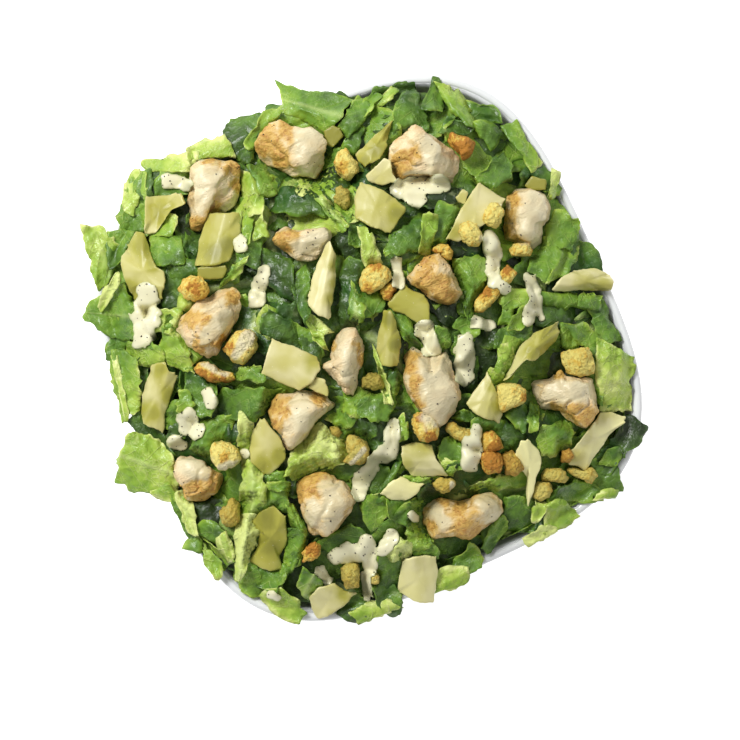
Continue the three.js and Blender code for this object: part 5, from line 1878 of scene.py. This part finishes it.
@dataclass
class Dressing:
    """Cream dressing poured in drips over the leaves and chicken, with ground pepper.

    step, columns and rows are in pixels, and speck_sizes in millimetres.
    """

    cream: CreamDressing = CreamDressing()
    pepper: GroundPepper = GroundPepper()
    step: float = 1.4
    thickness: float = 0.42 * MM
    skin: float = 0.45 * MM
    cliff: float = 14 * MM
    clear: float = 0.12 * MM
    specks: int = 300
    cream_share: float = 0.6
    chicken_share: float = 0.4
    speck_sizes: Span = (0.16, 0.46)
    least_upward: float = 0.45
    seed: int = 5
    columns: tuple[int, int] = (100, 640)
    rows: tuple[int, int] = (90, 610)
    first_guess: float = 22 * MM
    sky: float = 80 * MM

    def build(self, below: Sequence[Piece], chicken: Sequence[Piece]) -> list[Piece]:
        """Pours the dressing and grinds the pepper.

        Args:
            below: the pieces on which the dressing lies.
            chicken: the pieces that are peppered as well.

        Returns:
            The dressing and the pepper.
        """
        poured = self._pour(tree_of(below))
        return [poured, self._grind([poured, *chicken])]

    def _land(self, tree: BVHTree, px: float, py: float) -> Optional[Vector]:
        """Where the line of sight through a pixel meets the pieces below."""
        height = BOWL_HEIGHT + self.first_guess
        hit = None
        for _ in range(SIGHT_ROUNDS):
            x, y = place_of(px, py, height)
            hit = tree.ray_cast(Vector((x, y, BOWL_HEIGHT + self.sky)), Vector((0, 0, -1)))[0]
            if hit is None:
                return None
            height = hit.z
        return hit

    def _pour(self, tree: BVHTree) -> Piece:
        """The dressing, as one piece."""
        xs, ys = np.arange(*self.columns, self.step), np.arange(*self.rows, self.step)
        px, py = np.meshgrid(xs, ys, indexing="ij")
        depth = stroke_depth(STROKES, px, py)
        inside = depth > 0
        near = inside.copy()
        for axis in (0, 1):
            near |= np.roll(near, 1, axis) | np.roll(near, -1, axis)
        slope_x, slope_y = np.gradient(depth, self.step)
        steep = slope_x**2 + slope_y**2 + 1e-4
        short = np.clip(-depth / np.sqrt(steep), 0, self.step * 1.2)
        move = np.where(near & ~inside, short / np.sqrt(steep), 0)
        px, py = px + slope_x * move, py + slope_y * move
        places = np.full((*px.shape, 3), np.nan)
        for i, j in zip(*np.nonzero(near)):
            hit = self._land(tree, px[i, j], py[i, j])
            if hit is not None:
                places[i, j] = hit
        height = self._bridged(places[:, :, 2])
        layer = self.thickness * np.clip(depth, 0, 1) ** 0.35
        places[:, :, 2] = np.fmax(height, places[:, :, 2]) + layer + self.clear
        missed = np.isnan(places[:, :, 0])
        places[missed, :2] = np.stack(place_of(px, py, places[:, :, 2]), axis=2)[missed]
        return self._skinned(places, depth, near)

    @staticmethod
    def _bridged(height: Array) -> Array:
        """Heights raised and smoothed over the gaps between leaves."""
        ways = ((0, 1), (0, -1), (1, 1), (1, -1))
        high = height.copy()
        for _ in range(2):
            high = np.fmax(high, np.fmax.reduce([np.roll(high, way, axis) for axis, way in ways]))
        even = high
        for _ in range(6):
            beside = np.stack([np.roll(even, way, axis) for axis, way in ways])
            known = ~np.isnan(beside)
            mean = np.where(known, beside, 0).sum(0) / np.maximum(known.sum(0), 1)
            even = np.where(known.any(0) & ~np.isnan(even), 0.4 * even + 0.6 * mean, even)
        return even

    def _skinned(self, places: Array, depth: Array, near: Array) -> Piece:
        """The closed mesh over the places inside the strokes."""
        rows, columns = near.shape
        faces = grid_faces(rows, columns)[:, ::-1]
        flat, core = places.reshape(-1, 3), (depth > 0).ravel()
        whole = ~np.isnan(flat[faces][:, :, 2]).any(1) & near.ravel()[faces].all(1) & core[faces].any(1)
        faces = faces[whole]
        heights = flat[faces][:, :, 2]
        faces = faces[heights.max(1) - heights.min(1) < self.cliff]
        used, faces = np.unique(faces, return_inverse=True)
        piece = mesh_piece("poured_dressing", flat[used], faces.reshape(-1, 4))
        write_mark(piece, "thickness", smoothstep(-0.05, 0.30, depth.ravel()[used]))
        smooth(piece, 2)
        modify(piece, "SOLIDIFY", thickness=self.skin, offset=-1.0)
        return dress(piece, self.cream.material(), Slot.DRESSING)

    def _grind(self, pieces: Sequence[Piece]) -> Piece:
        """Specks of pepper on the upper faces of pieces."""
        draw = np.random.default_rng(self.seed)
        spots: list = []
        for piece in pieces:
            points, upward = points_of(piece), normals_of(piece)[:, 2]
            open_above = np.nonzero(upward > self.least_upward)[0]
            share = self.cream_share if piece is pieces[0] else self.chicken_share / (len(pieces) - 1)
            spots.append(points[draw.choice(open_above, int(self.specks * share))])
        corners = np.array([(1, 0, 0), (-1, 0, 0), (0, 1, 0), (0, -1, 0), (0, 0, 1), (0, 0, -1)], float)
        sides = np.array([(0, 2, 4), (2, 1, 4), (1, 3, 4), (3, 0, 4), (2, 0, 5), (1, 2, 5), (3, 1, 5),
                          (0, 3, 5)])
        points, faces = [], []
        for number, spot in enumerate(np.concatenate(spots)):
            size = draw.uniform(*self.speck_sizes) * MM
            shape = corners * size * draw.uniform(0.6, 1.25, (6, 1))
            shape = shape + draw.normal(0, 0.12, (6, 3)) * size
            points.append(shape + spot + np.array([0, 0, 0.1 * MM]))
            faces.append(sides + number * 6)
        piece = mesh_piece("pepper_specks", np.concatenate(points), np.concatenate(faces))
        return dress(piece, self.pepper.material(), Slot.PEPPER)


# Studio

@dataclass
class Studio:
    """A white table under soft light from the upper left, and the camera straight above."""

    middle: Pixel = (370.0, 370.0)
    floor_size: float = 8.0
    table: Colour = (0.93, 0.93, 0.93)
    glow: float = 0.62
    surround: float = 0.35
    key: float = 23.5
    fill: float = 3.5
    key_place: Place = (-0.75, 0.70, 1.25)
    key_size: float = 0.5
    fill_place: Place = (0.8, 0.2, 1.5)
    fill_size: float = 1.6

    def build(self) -> None:
        """Sets up the floor, the lights and the camera."""
        bpy.ops.object.select_all(action="DESELECT")
        bpy.ops.mesh.primitive_plane_add(size=self.floor_size)
        floor = bpy.context.object
        floor.name = "table_top"
        paint = Paint("white_table")
        cloud = paint.noise(0.4, 2.0)
        floor.data.materials.append(paint.finish(Base_Color=self.table, Roughness=0.75 + cloud * 0.1,
                                                 Emission_Color=(1.0, 1.0, 1.0), Emission_Strength=self.glow))
        floor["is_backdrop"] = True
        scene = bpy.context.scene
        scene.view_settings.view_transform = "Standard"
        world = bpy.data.worlds.new("studio")
        world.use_nodes = True
        background = world.node_tree.nodes["Background"]
        background.inputs["Color"].default_value = (1, 1, 1, 1)
        background.inputs["Strength"].default_value = self.surround
        scene.world = world
        self._light("key_light", self.key_place, self.key_size, self.key)
        self._light("fill_light", self.fill_place, self.fill_size, self.fill)
        self._camera()

    def _light(self, name: str, place: Place, size: float, watts: float) -> None:
        """Adds a square area light that faces the bowl."""
        data = bpy.data.lights.new(name, "AREA")
        data.size, data.energy = size, watts
        light = placed(name, data)
        light.location = (*from_photo(*place[:2]), place[2])
        aim = Vector((0, 0, BOWL_HEIGHT)) - light.location
        light.rotation_euler = aim.to_track_quat("-Z", "Y").to_euler()

    def _camera(self) -> None:
        """Adds the camera above the middle of the photograph."""
        data = bpy.data.cameras.new("camera")
        data.sensor_width, data.clip_end = SENSOR, 50.0
        data.lens = SENSOR * VIEW_DISTANCE / (FRAME_PIXELS * PIXEL)
        camera = placed("camera", data)
        x, y = place_of(*self.middle, BOWL_HEIGHT)
        camera.location = (x, y, BOWL_HEIGHT + VIEW_DISTANCE)
        camera.rotation_euler = (0, 0, -BOWL_TURN)
        bpy.context.scene.camera = camera


def write_sizes() -> None:
    """Works out the solids' box and the visual model's box, and keeps neither."""
    boxes = {"cad": CAD_BOX, "visual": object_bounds()}
    {name: [[float(c) for c in corner] for corner in box] for name, box in boxes.items()}


def main() -> None:
    """Builds the studio, the bowl, the toppings, the lettuce and the dressing."""
    logging.basicConfig(level=logging.INFO, format="%(message)s", stream=sys.stdout)
    Studio().build()
    Bowl().build()
    bread, cheese = ToastedBread().material(), HardCheese().material()
    toppings = Toppings(RoastChicken().material(), bread, cheese).build()
    bits = Bits().build(bread, cheese)
    cover = Cover([*toppings, *bits])
    leaves = Lettuce().build(cover)
    chicken = [piece for piece in toppings if piece.name.startswith("chicken")]
    Dressing().build([*leaves, *toppings, *bits], chicken)
    write_sizes()


if __name__ == "__main__":
    main()
